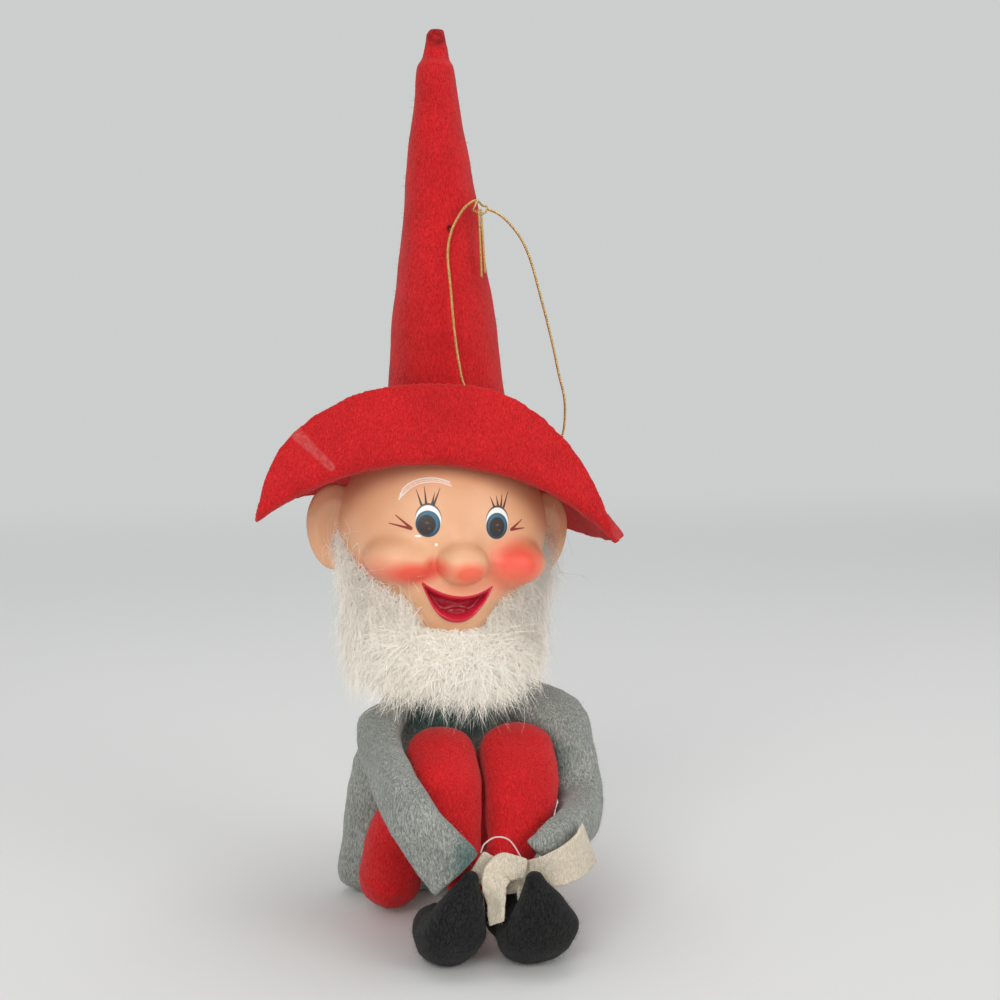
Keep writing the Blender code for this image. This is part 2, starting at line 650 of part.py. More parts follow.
def right_sleeve_keys():
    """From the right shoulder down in front of the jacket, round the shin, and to the ankles."""
    thick, wide = SLEEVE_HALF_THICKNESS, SLEEVE_HALF_WIDTH
    shoulder_y = HEAD_SET_BACK - TORSO_HALF_DEPTH - thick
    upper, out_of_upper = shin_support(-1, 0.72 * KNEE_HEIGHT, math.radians(34), thick + 2.2 * MM)
    middle, out_of_middle = shin_support(-1, 0.56 * KNEE_HEIGHT, math.radians(50), thick)
    lower, out_of_lower = shin_support(-1, ANKLE_HEIGHT + 7.9 * MM, math.radians(68), 0.85 * thick)
    return [
        ((-21.5 * MM, shoulder_y + 5 * MM, 0.905 * SHOULDER_HEIGHT), (-0.7, -1, 0.2), wide, thick),
        ((-25 * MM, shoulder_y - 7 * MM, 0.8 * SHOULDER_HEIGHT), (-0.9, -0.5, 0.1), 1.05 * wide, thick),
        (upper, out_of_upper, 1.05 * wide, thick),
        (middle, out_of_middle, wide, thick),
        (lower, out_of_lower, wide, 0.85 * thick),
    ]


def left_sleeve_keys():
    """From the left shoulder out and down to the elbow, then forward and in beside the shin."""
    thick, wide = SLEEVE_HALF_THICKNESS, SLEEVE_HALF_WIDTH
    knee_side = split_at(KNEE_HEIGHT) + 2 * KNEE_HALF_WIDTH + thick
    shoulder_y = HEAD_SET_BACK - TORSO_HALF_DEPTH - thick
    upper, out_of_upper = shin_support(1, 0.52 * KNEE_HEIGHT, math.radians(26), thick + 2 * MM)
    lower, out_of_lower = shin_support(1, ANKLE_HEIGHT + 9.5 * MM, math.radians(34), 0.85 * thick + 0.4 * MM)
    return [
        ((21.5 * MM, shoulder_y + 6.2 * MM, 0.96 * SHOULDER_HEIGHT), (0.5, -0.8, 0.6), 0.88 * wide, thick),
        ((knee_side + 6 * MM, shoulder_y - 2 * MM, 0.865 * SHOULDER_HEIGHT), (0.7, -0.6, 0.5), 1.08 * wide, thick),
        ((knee_side + 9.5 * MM, shoulder_y - 4 * MM, 0.67 * SHOULDER_HEIGHT), (1, -0.3, 0.1), wide, thick),
        ((knee_side + 8.5 * MM, shoulder_y - 13 * MM, 0.5 * SHOULDER_HEIGHT), (0.9, -0.5, -0.1), 0.95 * wide, 0.95 * thick),
        (upper, out_of_upper, 0.9 * wide, 0.9 * thick),
        (lower, out_of_lower, 0.85 * wide, 0.85 * thick),
    ]


def make_sleeve(name, keys, finish):
    return solid(name, skin(stuffed_tube(keys, 18, power=2.4, round_end=False)), finish)


def make_hand(name, keys, finish):
    """A cut felt strip, thin along the normals of its keys."""
    half = HAND_THICKNESS / 2
    rows = [(centre, normal, wide, half) for centre, normal, wide in keys]
    return solid(name, skin(stuffed_tube(rows, 16, power=7, round_start=False, round_end=False, segments=12)), finish)


def right_hand_keys():
    """From the right cuff across the front of the ankles to its free end in front of the left elbow."""
    y, z = ANKLE_Y, ANKLE_HEIGHT
    wide = HAND_HALF_WIDTH
    return [
        ((-5.6 * MM, y - 8.4 * MM, z + 8.8 * MM), (-0.3, -1, 0), 0.76 * wide),
        ((1.5 * MM, y - 9.4 * MM, z + 5.2 * MM), (0, -1, 0.1), 0.82 * wide),
        ((8 * MM, y - 9.4 * MM, z + 5.6 * MM), (0.1, -1, 0.1), 0.8 * wide),
        ((15 * MM, y - 12.3 * MM, z + 6.8 * MM), (0.2, -1, 0), 0.85 * wide),
        ((24 * MM, y - 11.1 * MM, z + 7.6 * MM), (0.5, -1, 0), wide),
        ((32 * MM, y - 2.4 * MM, z + 8.6 * MM), (0.7, -1, 0), 1.15 * wide),
    ]


def left_hand_keys():
    """From the left cuff over the ankles, then folded down in front between the toes."""
    y, z = ANKLE_Y, ANKLE_HEIGHT
    wide = HAND_HALF_WIDTH
    return [
        ((8.2 * MM, y - 8.2 * MM, z + 14.6 * MM), (0.1, -0.8, 0.8), 0.55 * wide),
        ((4.4 * MM, y - 9 * MM, z + 14.6 * MM), (0, -0.8, 0.8), 0.55 * wide),
        ((0.8 * MM, y - 11.8 * MM, z + 12 * MM), (-0.2, -0.9, 0.6), 0.55 * wide),
        ((-1 * MM, y - 13 * MM, z + 6 * MM), (-0.5, -1, 0.1), 0.5 * wide),
        ((-1.3 * MM, y - 14.2 * MM, z - 0.5 * MM), (-1, -0.7, 0), 0.42 * wide),
        ((-1.5 * MM, y - 15.6 * MM, z - 6 * MM), (-1, -0.5, 0), 0.42 * wide),
    ]


# Gold hanging cord, its knot, and the thread between the hands


def tube_along(name, points, radius, sides, finish):
    """A round cord along a list of points, with flat ends."""
    curve = bpy.data.curves.new(name, "CURVE")
    curve.dimensions = "3D"
    curve.bevel_depth = radius
    curve.bevel_resolution = sides
    curve.use_fill_caps = True
    curve.materials.append(finish)
    spline = curve.splines.new("POLY")
    spline.points.add(len(points) - 1)
    for point, place in zip(spline.points, points):
        point.co = (*place, 1)
    cord = bpy.data.objects.new(name, curve)
    bpy.context.scene.collection.objects.link(cord)
    return cord


KNOT_PLACE = Vector((8.1, -0.5, 217.2)) * MM


def left_cord_points():
    """From the brim behind its turned-up front, up against the cone, to the knot."""
    foot = brim_point(4 * MM, 23.5 * MM, FELT_THICKNESS / 2 + FIT + CORD_RADIUS)
    route = [
        (2.4, -9.5, 156), (1.4, -8.6, 162.5), (0.2, -8, 166.5), (-1.4, -6.4, 179), (-2.2, -4.4, 194),
        (-2.3, -2, 203), (-1, -0.6, 209.3), (0.9, -0.4, 213.5), (3.2, -0.6, 217), (5.6, -0.8, 218.9),
    ]
    return [foot, *[Vector(point) * MM for point in route], KNOT_PLACE + Vector((-0.35, 0, 1)) * (KNOT_RADIUS + 2.4 * FIT)]


def right_cord_points():
    """From the knot out over the brim and down behind its right end."""
    route = [
        (14.3, 0, 215.5), (18.2, 0.5, 212.4), (21.9, 1, 207.9), (25.1, 2, 201.6), (27.8, 2.5, 193.2),
        (30.1, 3, 185.7), (32.8, 4, 176.7), (35.2, 5, 167.6), (37.2, 5.3, 159.8), (37.4, 5.6, 152),
        (36.6, 5.8, 145.5),
    ]
    foot = brim_point(36.5 * MM, 14 * MM, FELT_THICKNESS / 2 + FIT + CORD_RADIUS)
    return [KNOT_PLACE + Vector((0.97, 0, -0.1)) * (KNOT_RADIUS + 2 * FIT), *[Vector(p) * MM for p in route], foot]


def make_cords(finish):
    for name, points in (("hanger_cord_right", left_cord_points()), ("hanger_cord_left", right_cord_points())):
        smooth = [Vector(row) for row in curve_through(points, 40)]
        tube_along(name, smooth, CORD_RADIUS, 2, finish)


def make_knot(finish):
    """The overhand knot at the top of the loop, with the two cut ends hanging from it."""
    mesh = bmesh.new()
    bmesh.ops.create_icosphere(mesh, subdivisions=2, radius=KNOT_RADIUS)
    for vertex in mesh.verts:
        ridge = 0.12 * math.sin(3 * math.atan2(vertex.co.z, vertex.co.x) + 900 * vertex.co.y)
        vertex.co *= 1 + ridge
    bmesh.ops.translate(mesh, verts=mesh.verts, vec=KNOT_PLACE)
    knot = solid("hanger_knot", mesh, finish)
    for side in (-1, 1):
        start = KNOT_PLACE + Vector((side * CORD_RADIUS * 0.9, 0, -0.4 * KNOT_RADIUS))
        rings = []
        for share in np.linspace(0, 1, 7):
            bow = Vector((0.5 * MM + side * 0.25 * MM * share, -1.2 * MM * share, -CORD_TAIL * share))
            rings.append(section(start + bow, X_AXIS, Vector((0, 1, 0)), CORD_RADIUS, CORD_RADIUS, 2, 8))
        boolean(knot, solid("tail", skin(rings), finish), "UNION")
    return knot


def make_thread(finish):
    """The stitch that ties one hand to the other, standing up in a loose arc."""
    y, z = ANKLE_Y, ANKLE_HEIGHT
    route = [
        (0.6 * MM, y - 12.6 * MM, z + 14.6 * MM),
        (1.8 * MM, y - 12.2 * MM, z + 16.6 * MM),
        (5 * MM, y - 11.6 * MM, z + 17.8 * MM),
        (9 * MM, y - 11.6 * MM, z + 16 * MM),
        (12.2 * MM, y - 12.2 * MM, z + 12.6 * MM),
    ]
    tube_along("hand_thread", [Vector(row) for row in curve_through(route, 14)], THREAD_RADIUS, 2, finish)


def centre_on_origin():
    """Moves the figure so that its box, without the cord, stands centred on the origin."""
    figure = bpy.data.objects.new("figure", None)
    bpy.context.scene.collection.objects.link(figure)
    bpy.context.view_layer.update()
    low, high = Vector((1, 1, 1)), Vector((-1, -1, -1))
    for piece in list(bpy.context.scene.objects):
        if piece == figure:
            continue
        piece.parent = figure
        if piece.name.startswith("hanger"):
            continue
        for corner in piece.bound_box:
            low = Vector(map(min, low, corner))
            high = Vector(map(max, high, corner))
    figure.location = (-(low.x + high.x) / 2, -(low.y + high.y) / 2, -low.z)


def main():
    for piece in list(bpy.data.objects):
        bpy.data.objects.remove(piece)
    red = material("red_felt", (0.56, 0.02, 0.024), 0.95)
    grey = material("grey_felt", (0.26, 0.265, 0.24), 0.95)
    black = material("black_felt", (0.015, 0.016, 0.018), 0.95)
    white = material("white_felt", (0.7, 0.62, 0.46), 0.95)
    vinyl = material("vinyl", (0.76, 0.44, 0.26), 0.4)
    fur = material("fur", (0.76, 0.72, 0.62), 0.8)
    gold = material("gold_cord", (0.75, 0.53, 0.2), 0.3)
    thread = material("thread", (0.8, 0.6, 0.58), 0.6)

    make_head(vinyl)
    make_brim(red)
    make_cone(red)
    make_beard(fur)
    make_torso(grey)
    make_leg("leg_right", -1, red)
    make_leg("leg_left", 1, red)
    make_boot("boot_right", -1, BOOT_HALF_WIDTH_RIGHT, HEEL_RIGHT, TOE_RIGHT, TIP_RIGHT, black)
    make_boot("boot_left", 1, BOOT_HALF_WIDTH_LEFT, HEEL_LEFT, TOE_LEFT, TIP_LEFT, black)
    make_sleeve("sleeve_right", right_sleeve_keys(), grey)
    make_sleeve("sleeve_left", left_sleeve_keys(), grey)
    make_hand("hand_right", right_hand_keys(), white)
    make_hand("hand_left", left_hand_keys(), white)
    make_cords(gold)
    make_knot(gold)
    make_thread(thread)
    centre_on_origin()


main()
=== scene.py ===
import math

import bmesh
import bpy
import numpy as np
from mathutils import Matrix, Vector, noise
from mathutils.bvhtree import BVHTree


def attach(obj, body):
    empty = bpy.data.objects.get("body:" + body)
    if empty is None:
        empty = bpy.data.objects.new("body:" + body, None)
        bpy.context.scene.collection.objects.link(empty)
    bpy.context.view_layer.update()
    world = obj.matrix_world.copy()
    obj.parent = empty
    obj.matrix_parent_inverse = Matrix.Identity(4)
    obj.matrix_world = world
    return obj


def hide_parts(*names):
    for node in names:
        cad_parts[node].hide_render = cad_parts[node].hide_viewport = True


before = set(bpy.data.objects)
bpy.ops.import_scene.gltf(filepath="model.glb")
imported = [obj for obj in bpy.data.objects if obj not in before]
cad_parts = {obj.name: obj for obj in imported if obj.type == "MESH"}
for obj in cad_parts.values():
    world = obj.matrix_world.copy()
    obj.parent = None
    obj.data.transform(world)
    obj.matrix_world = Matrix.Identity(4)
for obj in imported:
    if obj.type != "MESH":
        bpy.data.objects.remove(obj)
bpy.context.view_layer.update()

scene = bpy.context.scene
scene.view_settings.view_transform = "Standard"

# The stage: one plain pale floor that bends up behind the elf, two soft lamps from the front and
# a soft one from above, and a camera a little above and to the elf's right.
MM = 0.001
FLOOR_WIDTH, WALL_HEIGHT, WALL_BEND = 14, 5, 2.5
bpy.ops.object.select_all(action="DESELECT")
bpy.ops.mesh.primitive_plane_add(size=FLOOR_WIDTH, location=(0, 0, 0))
floor = bpy.context.active_object
floor.name = "floor"
floor_mesh = bmesh.new()
floor_mesh.from_mesh(floor.data)
back_edge = [e for e in floor_mesh.edges if all(v.co.y > 0 for v in e.verts)]
raised = bmesh.ops.extrude_edge_only(floor_mesh, edges=back_edge)
wall_top = [g for g in raised["geom"] if isinstance(g, bmesh.types.BMVert)]
bmesh.ops.translate(floor_mesh, verts=wall_top, vec=(0, 0, WALL_HEIGHT))
bmesh.ops.recalc_face_normals(floor_mesh, faces=floor_mesh.faces)
corner = [e for e in floor_mesh.edges if all(v.co.y > 0 and v.co.z < WALL_HEIGHT / 2 for v in e.verts)]
bmesh.ops.bevel(floor_mesh, geom=corner, offset=WALL_BEND, segments=20, affect="EDGES", profile=0.5)
floor_mesh.to_mesh(floor.data)
floor_mesh.free()
floor.data.shade_smooth()


def feed(tree, node, inputs):
    """Gives a node's inputs their values, or the outputs of other nodes."""
    for key, value in inputs.items():
        if isinstance(value, bpy.types.NodeSocket):
            tree.links.new(value, node.inputs[key])
        else:
            node.inputs[key].default_value = value


def wire(tree, kind, inputs, out=0, **settings):
    """Adds a shader node with its settings and inputs, and returns one of its outputs."""
    node = tree.nodes.new("ShaderNode" + kind)
    for key, value in settings.items():
        setattr(node, key, value)
    feed(tree, node, inputs)
    return node.outputs[out]


def new_finish(name):
    """A material, with its node tree and its shader."""
    finish = bpy.data.materials.new(name)
    finish.use_nodes = True
    return finish, finish.node_tree, finish.node_tree.nodes["Principled BSDF"]


room_paint, room_tree, paint = new_finish("room_paint")
feed(room_tree, paint, {"Base Color": (0.74, 0.74, 0.72, 1), "Roughness": 0.8})
looked_at = wire(room_tree, "LightPath", {}).node.outputs
seen = looked_at["Is Camera Ray"]
for other_way in ("Is Glossy Ray", "Is Transmission Ray"):
    seen = wire(room_tree, "Math", {0: seen, 1: looked_at[other_way]}, operation="MAXIMUM")
room_place = wire(room_tree, "TexCoord", {}, out="Object")
depth = wire(room_tree, "SeparateXYZ", {"Vector": room_place}, out="Y")
far_back = wire(
    room_tree, "MapRange", {"Value": depth, "From Min": 0.2, "From Max": 1.7}, interpolation_type="SMOOTHSTEP"
)
wall_share = wire(room_tree, "Math", {0: seen, 1: far_back}, operation="MULTIPLY")
wall_glow = wire(room_tree, "Emission", {"Color": (0.6, 0.62, 0.61, 1)})
room_mix = wire(room_tree, "MixShader", {"Fac": wall_share, 1: paint.outputs["BSDF"], 2: wall_glow})
feed(room_tree, room_tree.nodes["Material Output"], {"Surface": room_mix})
floor.data.materials.append(room_paint)

world = bpy.data.worlds.new("daylight")
world.use_nodes = True
world.node_tree.nodes["Background"].inputs["Color"].default_value = (0.95, 0.97, 1.0, 1)
world.node_tree.nodes["Background"].inputs["Strength"].default_value = 0.55
scene.world = world
LIT_PLACE = Vector((0, 0, 0.13))
for lamp_name, place, power, tint in (
    ("window_lamp", (-0.95, -1.5, 0.95), 16, (1.0, 0.98, 0.95)),
    ("fill_lamp", (0.95, -1.55, 0.7), 10, (1.0, 0.97, 0.94)),
    ("top_lamp", (0.1, 0.2, 1.5), 5.5, (0.97, 0.98, 1.0)),
):
    bpy.ops.object.light_add(type="AREA", location=place)
    lamp = bpy.context.active_object
    lamp.name = lamp_name
    lamp.data.energy = power
    lamp.data.size = 1.0
    lamp.data.color = tint
    lamp.rotation_euler = (LIT_PLACE - Vector(place)).to_track_quat("-Z", "Y").to_euler()

LENS, SENSOR, PICTURE = 54, 36, 1000
CAMERA_YAW = -math.radians(15) - math.atan(46 / 1500)
CAMERA_PITCH = math.radians(4.5)
looks_along = Vector(
    (
        -math.sin(CAMERA_YAW) * math.cos(CAMERA_PITCH),
        math.cos(CAMERA_YAW) * math.cos(CAMERA_PITCH),
        -math.sin(CAMERA_PITCH),
    )
)
bpy.ops.object.camera_add(location=Vector((-114.71, -444.78, 165)) * MM)
camera = bpy.context.active_object
camera.rotation_euler = looks_along.to_track_quat("-Z", "Y").to_euler()
camera.data.lens = LENS
camera.data.sensor_width = SENSOR
camera.data.clip_start = 0.01
scene.camera = camera


def seen_at(column, row, piece):
    """The point of a finished piece that the camera sees at a place in the 1000 x 1000 picture."""
    spread = SENSOR / LENS / PICTURE
    turn = camera.rotation_euler.to_matrix()
    ray = turn @ Vector(((column - PICTURE / 2) * spread, (PICTURE / 2 - row) * spread, -1)).normalized()
    faces = [p.vertices for p in piece.data.polygons]
    tree = BVHTree.FromPolygons([v.co for v in piece.data.vertices], faces)
    return tree.ray_cast(camera.location, ray)


# The gold hanging cord: one length of shiny wrapped twine, doubled into a loop above the brim,
# with both ends tied in an overhand knot at the top. Two plies are twisted round each other.
def smooth_route(points, count):
    """A smooth line through the points, with its places evenly apart."""
    points = [Vector(p) for p in points]
    padded = [2 * points[0] - points[1], *points, 2 * points[-1] - points[-2]]
    fine = []
    for a, b, c, d in zip(padded, padded[1:], padded[2:], padded[3:]):
        for step in range(24):
            t = step / 24
            bend, swing = 2 * a - 5 * b + 4 * c - d, 3 * b - a - 3 * c + d
            fine.append(0.5 * (2 * b + (c - a) * t + bend * t * t + swing * t**3))
    fine.append(points[-1])
    run = np.concatenate([[0], np.cumsum([(b - a).length for a, b in zip(fine, fine[1:])])])
    table = np.array(fine)
    even = np.linspace(0, run[-1], count)
    return [Vector(p) for p in np.stack([np.interp(even, run, table[:, k]) for k in range(3)], axis=1)]


def frames_along(route):
    """Two directions square to the route at each of its places, without twist."""
    side = Vector((0, 1, 0))
    out = []
    for i, place in enumerate(route):
        along = (route[min(i + 1, len(route) - 1)] - route[max(i - 1, 0)]).normalized()
        side = (side - along * side.dot(along)).normalized()
        out.append((side.copy(), along.cross(side)))
    return out


def tube_mesh(bm, route, radius, sides):
    """A round skin along a route, with closed ends."""
    angles = [math.tau * k / sides for k in range(sides)]
    rings = []
    for place, (side, up) in zip(route, frames_along(route)):
        rings.append([bm.verts.new(place + (side * math.cos(a) + up * math.sin(a)) * radius) for a in angles])
    for low, high in zip(rings, rings[1:]):
        for k in range(sides):
            bm.faces.new((low[k], low[(k + 1) % sides], high[(k + 1) % sides], high[k]))
    bm.faces.new(rings[0][::-1])
    bm.faces.new(rings[-1])


def twisted_cord(name, route, plies, lay, radius, finish):
    """Plies wound round a route, one turn in each length of lay."""
    bm = bmesh.new()
    length = sum((b - a).length for a, b in zip(route, route[1:]))
    even = smooth_route(route, max(8, int(length / lay * 10)))
    axes = frames_along(even)
    for ply in range(plies):
        strand = []
        for i, (place, (side, up)) in enumerate(zip(even, axes)):
            angle = math.tau * (length * i / (len(even) - 1) / lay + ply / plies)
            strand.append(place + (side * math.cos(angle) + up * math.sin(angle)) * radius)
        tube_mesh(bm, strand, radius * 1.02, 6)
    mesh = bpy.data.meshes.new(name)
    bm.to_mesh(mesh)
    bm.free()
    mesh.materials.append(finish)
    mesh.shade_smooth()
    cord = bpy.data.objects.new(name, mesh)
    scene.collection.objects.link(cord)
    return cord


def colour_ramp(tree, fac, *stops):
    """A colour that runs between two stops of (place, colour)."""
    ramp = wire(tree, "ValToRGB", {"Fac": fac})
    for stop, (place, colour) in zip(ramp.node.color_ramp.elements, stops):
        stop.position = place
        stop.color = (*colour, 1)
    return ramp


gold_finish, gold_tree, gold = new_finish("gold_twine")
where = wire(gold_tree, "TexCoord", {}, out="Object")
glint = wire(gold_tree, "TexNoise", {"Vector": where, "Scale": 2600, "Detail": 3})
tarnish = colour_ramp(gold_tree, glint, (0.3, (0.36, 0.21, 0.055)), (0.62, (0.83, 0.6, 0.24)))
foil = wire(gold_tree, "Bump", {"Strength": 0.4, "Distance": 0.0001, "Height": glint})
feed(gold_tree, gold, {"Base Color": tarnish, "Normal": foil, "Metallic": 0.85, "Roughness": 0.3})

CORD_RADIUS = 0.45 * MM
route_right = smooth_route(
    [
        Vector(p) * MM
        for p in (
            (6.21, -15.54, 146.37), (5.45, -14.78, 156), (4.45, -13.88, 162.5), (3.25, -13.28, 166.5),
            (1.65, -11.68, 179), (0.85, -9.68, 194), (0.75, -7.28, 203), (2.05, -5.88, 209.3),
            (3.95, -5.68, 213.5), (6.25, -5.88, 217), (8.65, -6.08, 218.9), (10.33, -5.78, 219.5),
        )
    ],
    40,
)
route_left = smooth_route(
    [
        Vector(p) * MM
        for p in (
            (38.12, -10.78, 136.93), (39.65, 0.52, 145.5), (40.45, 0.32, 152), (40.25, 0.02, 159.8),
            (38.25, -0.28, 167.6), (35.85, -1.28, 176.7), (33.15, -2.28, 185.7), (30.85, -2.78, 193.2),
            (28.15, -3.28, 201.6), (24.95, -4.28, 207.9), (21.25, -4.78, 212.4), (17.35, -5.28, 215.5),
            (13.28, -5.78, 216.98),
        )
    ],
    40,
)
KNOT_PLACE = Vector((11.15, -5.78, 217.2)) * MM
knot_route = []
for t in np.linspace(0.4, math.tau + 1.2, 26):
    over_and_under = (2.1 * math.cos(t), 1.3 * math.sin(2 * t), 1.5 * math.sin(t) + 0.4 * math.cos(3 * t))
    knot_route.append(KNOT_PLACE + Vector(over_and_under) * MM)
TWINE_LAY, TWINE_PLY = 1.5 * MM, 0.42 * CORD_RADIUS
hanger_knot = twisted_cord("gold_knot", knot_route, 2, TWINE_LAY, TWINE_PLY, gold_finish)
tails = []
for side, reach in ((-1, 20.5), (1, 19)):
    tail_route = [
        KNOT_PLACE + Vector((side * 0.35 + 0.7 * s + side * 0.2 * s, -1.4 * s, -0.3 - reach * s)) * MM
        for s in np.linspace(0, 1, 8)
    ]
    tail_name = f"gold_tail_{len(tails) + 1}"
    tails.append(twisted_cord(tail_name, tail_route, 2, TWINE_LAY, TWINE_PLY, gold_finish))
for piece in (hanger_knot, *tails):
    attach(piece, "root")
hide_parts("hanger_knot")
for name, node, route, others in (
    ("gold_loop_right", "hanger_cord_right", route_right, [hanger_knot, *tails]),
    ("gold_loop_left", "hanger_cord_left", route_left, []),
):
    loop = twisted_cord(name, route, 2, TWINE_LAY, 0.49 * CORD_RADIUS, gold_finish)
    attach(loop, "root")
    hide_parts(node)


# Needled craft felt: short dyed fibres pressed into a flat cloth, mottled, a little fuzzy, and
# faded where light reached it. The group serves the red, grey, black and white felts alike.
def shader_group(name, inputs, outputs):
    """An empty node group with named inputs and outputs. Returns it with its sources and its end."""
    group = bpy.data.node_groups.new(name, "ShaderNodeTree")
    for way, sockets in (("INPUT", inputs), ("OUTPUT", outputs)):
        for socket, kind in sockets.items():
            group.interface.new_socket(socket, in_out=way, socket_type="NodeSocket" + kind)
    return group, group.nodes.new("NodeGroupInput").outputs, group.nodes.new("NodeGroupOutput")


felt_group, given, result = shader_group(
    "felt_fibres",
    {"Fibre Scale": "Float", "Contrast": "Float", "Depth": "Float"},
    {"Tone": "Float", "Blotch": "Float", "Roughness": "Float", "Normal": "Vector"},
)
where = wire(felt_group, "TexCoord", {}, out="Object")
ripple = wire(felt_group, "TexNoise", {"Vector": where, "Scale": 420, "Detail": 2}, out="Color")
pushed = wire(
    felt_group, "MixRGB", {"Fac": 0.0008, "Color1": where, "Color2": ripple}, blend_type="LINEAR_LIGHT"
)
strands = []
for turn in ((0.3, 0.2, 0.9), (1.1, -0.5, -0.6), (-0.7, 0.9, 0.2)):
    turned = wire(felt_group, "Mapping", {"Vector": pushed, "Rotation": turn, "Scale": (1.0, 1.0, 0.24)})
    fibre = {"Vector": turned, "Scale": given["Fibre Scale"], "Detail": 2, "Roughness": 0.55}
    strands.append(wire(felt_group, "TexNoise", fibre))
most = wire(felt_group, "Math", {0: strands[0], 1: strands[1]}, operation="MAXIMUM")
most = wire(felt_group, "Math", {0: most, 1: strands[2]}, operation="MAXIMUM")
tone = wire(felt_group, "MapRange", {"Value": most, "From Min": 0.46, "From Max": 0.72})
centred = wire(felt_group, "Math", {0: tone, 1: 0.5}, operation="SUBTRACT")
eased = wire(felt_group, "Math", {0: centred, 1: given["Contrast"], 2: 0.5}, operation="MULTIPLY_ADD")
blotch = wire(felt_group, "TexNoise", {"Vector": where, "Scale": 75, "Detail": 4})
dull = wire(felt_group, "MapRange", {"Value": tone, "To Min": 0.98, "To Max": 0.84})
nap = wire(felt_group, "Bump", {"Strength": 0.9, "Distance": given["Depth"], "Height": tone})
feed(felt_group, result, {"Tone": eased, "Blotch": blotch, "Roughness": dull, "Normal": nap})


def felt(name, dark, light, fibre_scale, contrast, depth, sheen, sheen_tint):
    """A felt whose fibres run from a dark to a light colour."""
    finish, tree, shader = new_finish(name)
    values = {"Fibre Scale": fibre_scale, "Contrast": contrast, "Depth": depth}
    fibres = wire(tree, "Group", values, node_tree=felt_group).node.outputs
    colour = colour_ramp(tree, fibres["Tone"], (0.15, dark), (0.9, light))
    limits = {"From Min": 0.3, "From Max": 0.7, "To Min": 0.72, "To Max": 1.12}
    spread = wire(tree, "MapRange", {"Value": fibres["Blotch"], **limits})
    mottled = wire(
        tree, "MixRGB", {"Fac": 0.5, "Color1": colour, "Color2": spread}, blend_type="MULTIPLY"
    )
    feed(tree, shader, {"Base Color": mottled, "Roughness": fibres["Roughness"], "Normal": fibres["Normal"]})
    feed(tree, shader, {"Specular IOR Level": 0.15, "Sheen Weight": sheen, "Sheen Roughness": 0.45})
    feed(tree, shader, {"Sheen Tint": (*sheen_tint, 1)})
    return finish


def whole_copy(name, node):
    """A copy of a node's shape with its loose triangles merged."""
    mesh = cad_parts[node].data.copy()
    mesh.materials.clear()
    mesh.name = name
    piece = bpy.data.objects.new(name, mesh)
    scene.collection.objects.link(piece)
    bm = bmesh.new()
    bm.from_mesh(mesh)
    bmesh.ops.remove_doubles(bm, verts=bm.verts, dist=1e-6)
    bm.to_mesh(mesh)
    bm.free()
    return piece


def finish_modifier(piece, kind, **settings):
    """Adds a modifier to a piece and applies it."""
    bpy.ops.object.select_all(action="DESELECT")
    piece.select_set(True)
    bpy.context.view_layer.objects.active = piece
    step = piece.modifiers.new(kind.lower(), kind)
    for key, value in settings.items():
        setattr(step, key, value)
    bpy.ops.object.modifier_apply(modifier=step.name)


def places(piece):
    """The points of a piece and their normals, as rows of numbers."""
    count = len(piece.data.vertices)
    points, normals = np.empty(count * 3), np.empty(count * 3)
    piece.data.vertices.foreach_get("co", points)
    piece.data.vertices.foreach_get("normal", normals)
    return points.reshape(-1, 3), normals.reshape(-1, 3)


def set_places(piece, points):
    piece.data.vertices.foreach_set("co", np.ascontiguousarray(points, np.float32).ravel())
    piece.data.update()


def soft_noise(points, size, seed):
    """Smooth lumps about a size across, from -1 to 1, at each point."""
    offset = Vector((seed * 3.7, seed * 1.3, seed * 7.1))
    return np.array([noise.noise(Vector(p) / size + offset) for p in points])


def lumpy(piece, *layers):
    """Moves the surface in and out by layers of (size of the lumps, height of the lumps)."""
    points, normals = places(piece)
    for seed, (size, height) in enumerate(layers):
        points = points + normals * (soft_noise(points, size, seed + len(piece.name)) * height)[:, None]
    set_places(piece, points)


# The cloth is blown up at ten times its size, where the solver's steps suit it.
CLOTH_SCALE, CLOTH_FRAMES = 10, 20
FLOOR_CLEAR = 0.1 * MM


def stuffed(name, node, voxel, reach, *layers):
    """A node's shape as filled felt: a fine skin, puffed by cloth pressure within a reach, then dented."""
    piece = whole_copy(name, node)
    finish_modifier(piece, "REMESH", mode="VOXEL", voxel_size=voxel, use_smooth_shade=True)
    start, _ = places(piece)
    middle = start.mean(axis=0)
    set_places(piece, (start - middle) * CLOTH_SCALE)
    cloth = piece.modifiers.new("cloth", "CLOTH")
    cloth.settings.quality = 4
    cloth.settings.use_pressure = True
    cloth.settings.uniform_pressure_force = 4
    cloth.settings.effector_weights.gravity = 0
    cloth.point_cache.frame_start = 1
    cloth.point_cache.frame_end = CLOTH_FRAMES
    for step in range(1, CLOTH_FRAMES + 1):
        scene.frame_set(step)
    held = piece.evaluated_get(bpy.context.evaluated_depsgraph_get())
    puffed = np.empty(len(start) * 3)
    held.data.vertices.foreach_get("co", puffed)
    piece.modifiers.clear()
    scene.frame_set(1)
    moved = puffed.reshape(-1, 3) / CLOTH_SCALE + middle - start
    far = np.linalg.norm(moved, axis=1, keepdims=True)
    moved *= np.minimum(1, reach / np.maximum(far, 1e-9))
    set_places(piece, start + moved)
    finish_modifier(piece, "SUBSURF", levels=1, render_levels=1)
    finish_modifier(piece, "SMOOTH", iterations=2, factor=0.5)
    lumpy(piece, *layers)
    points, _ = places(piece)
    points[:, 2] = np.maximum(points[:, 2], FLOOR_CLEAR)
    set_places(piece, points)
    piece.data.shade_smooth()
    return piece


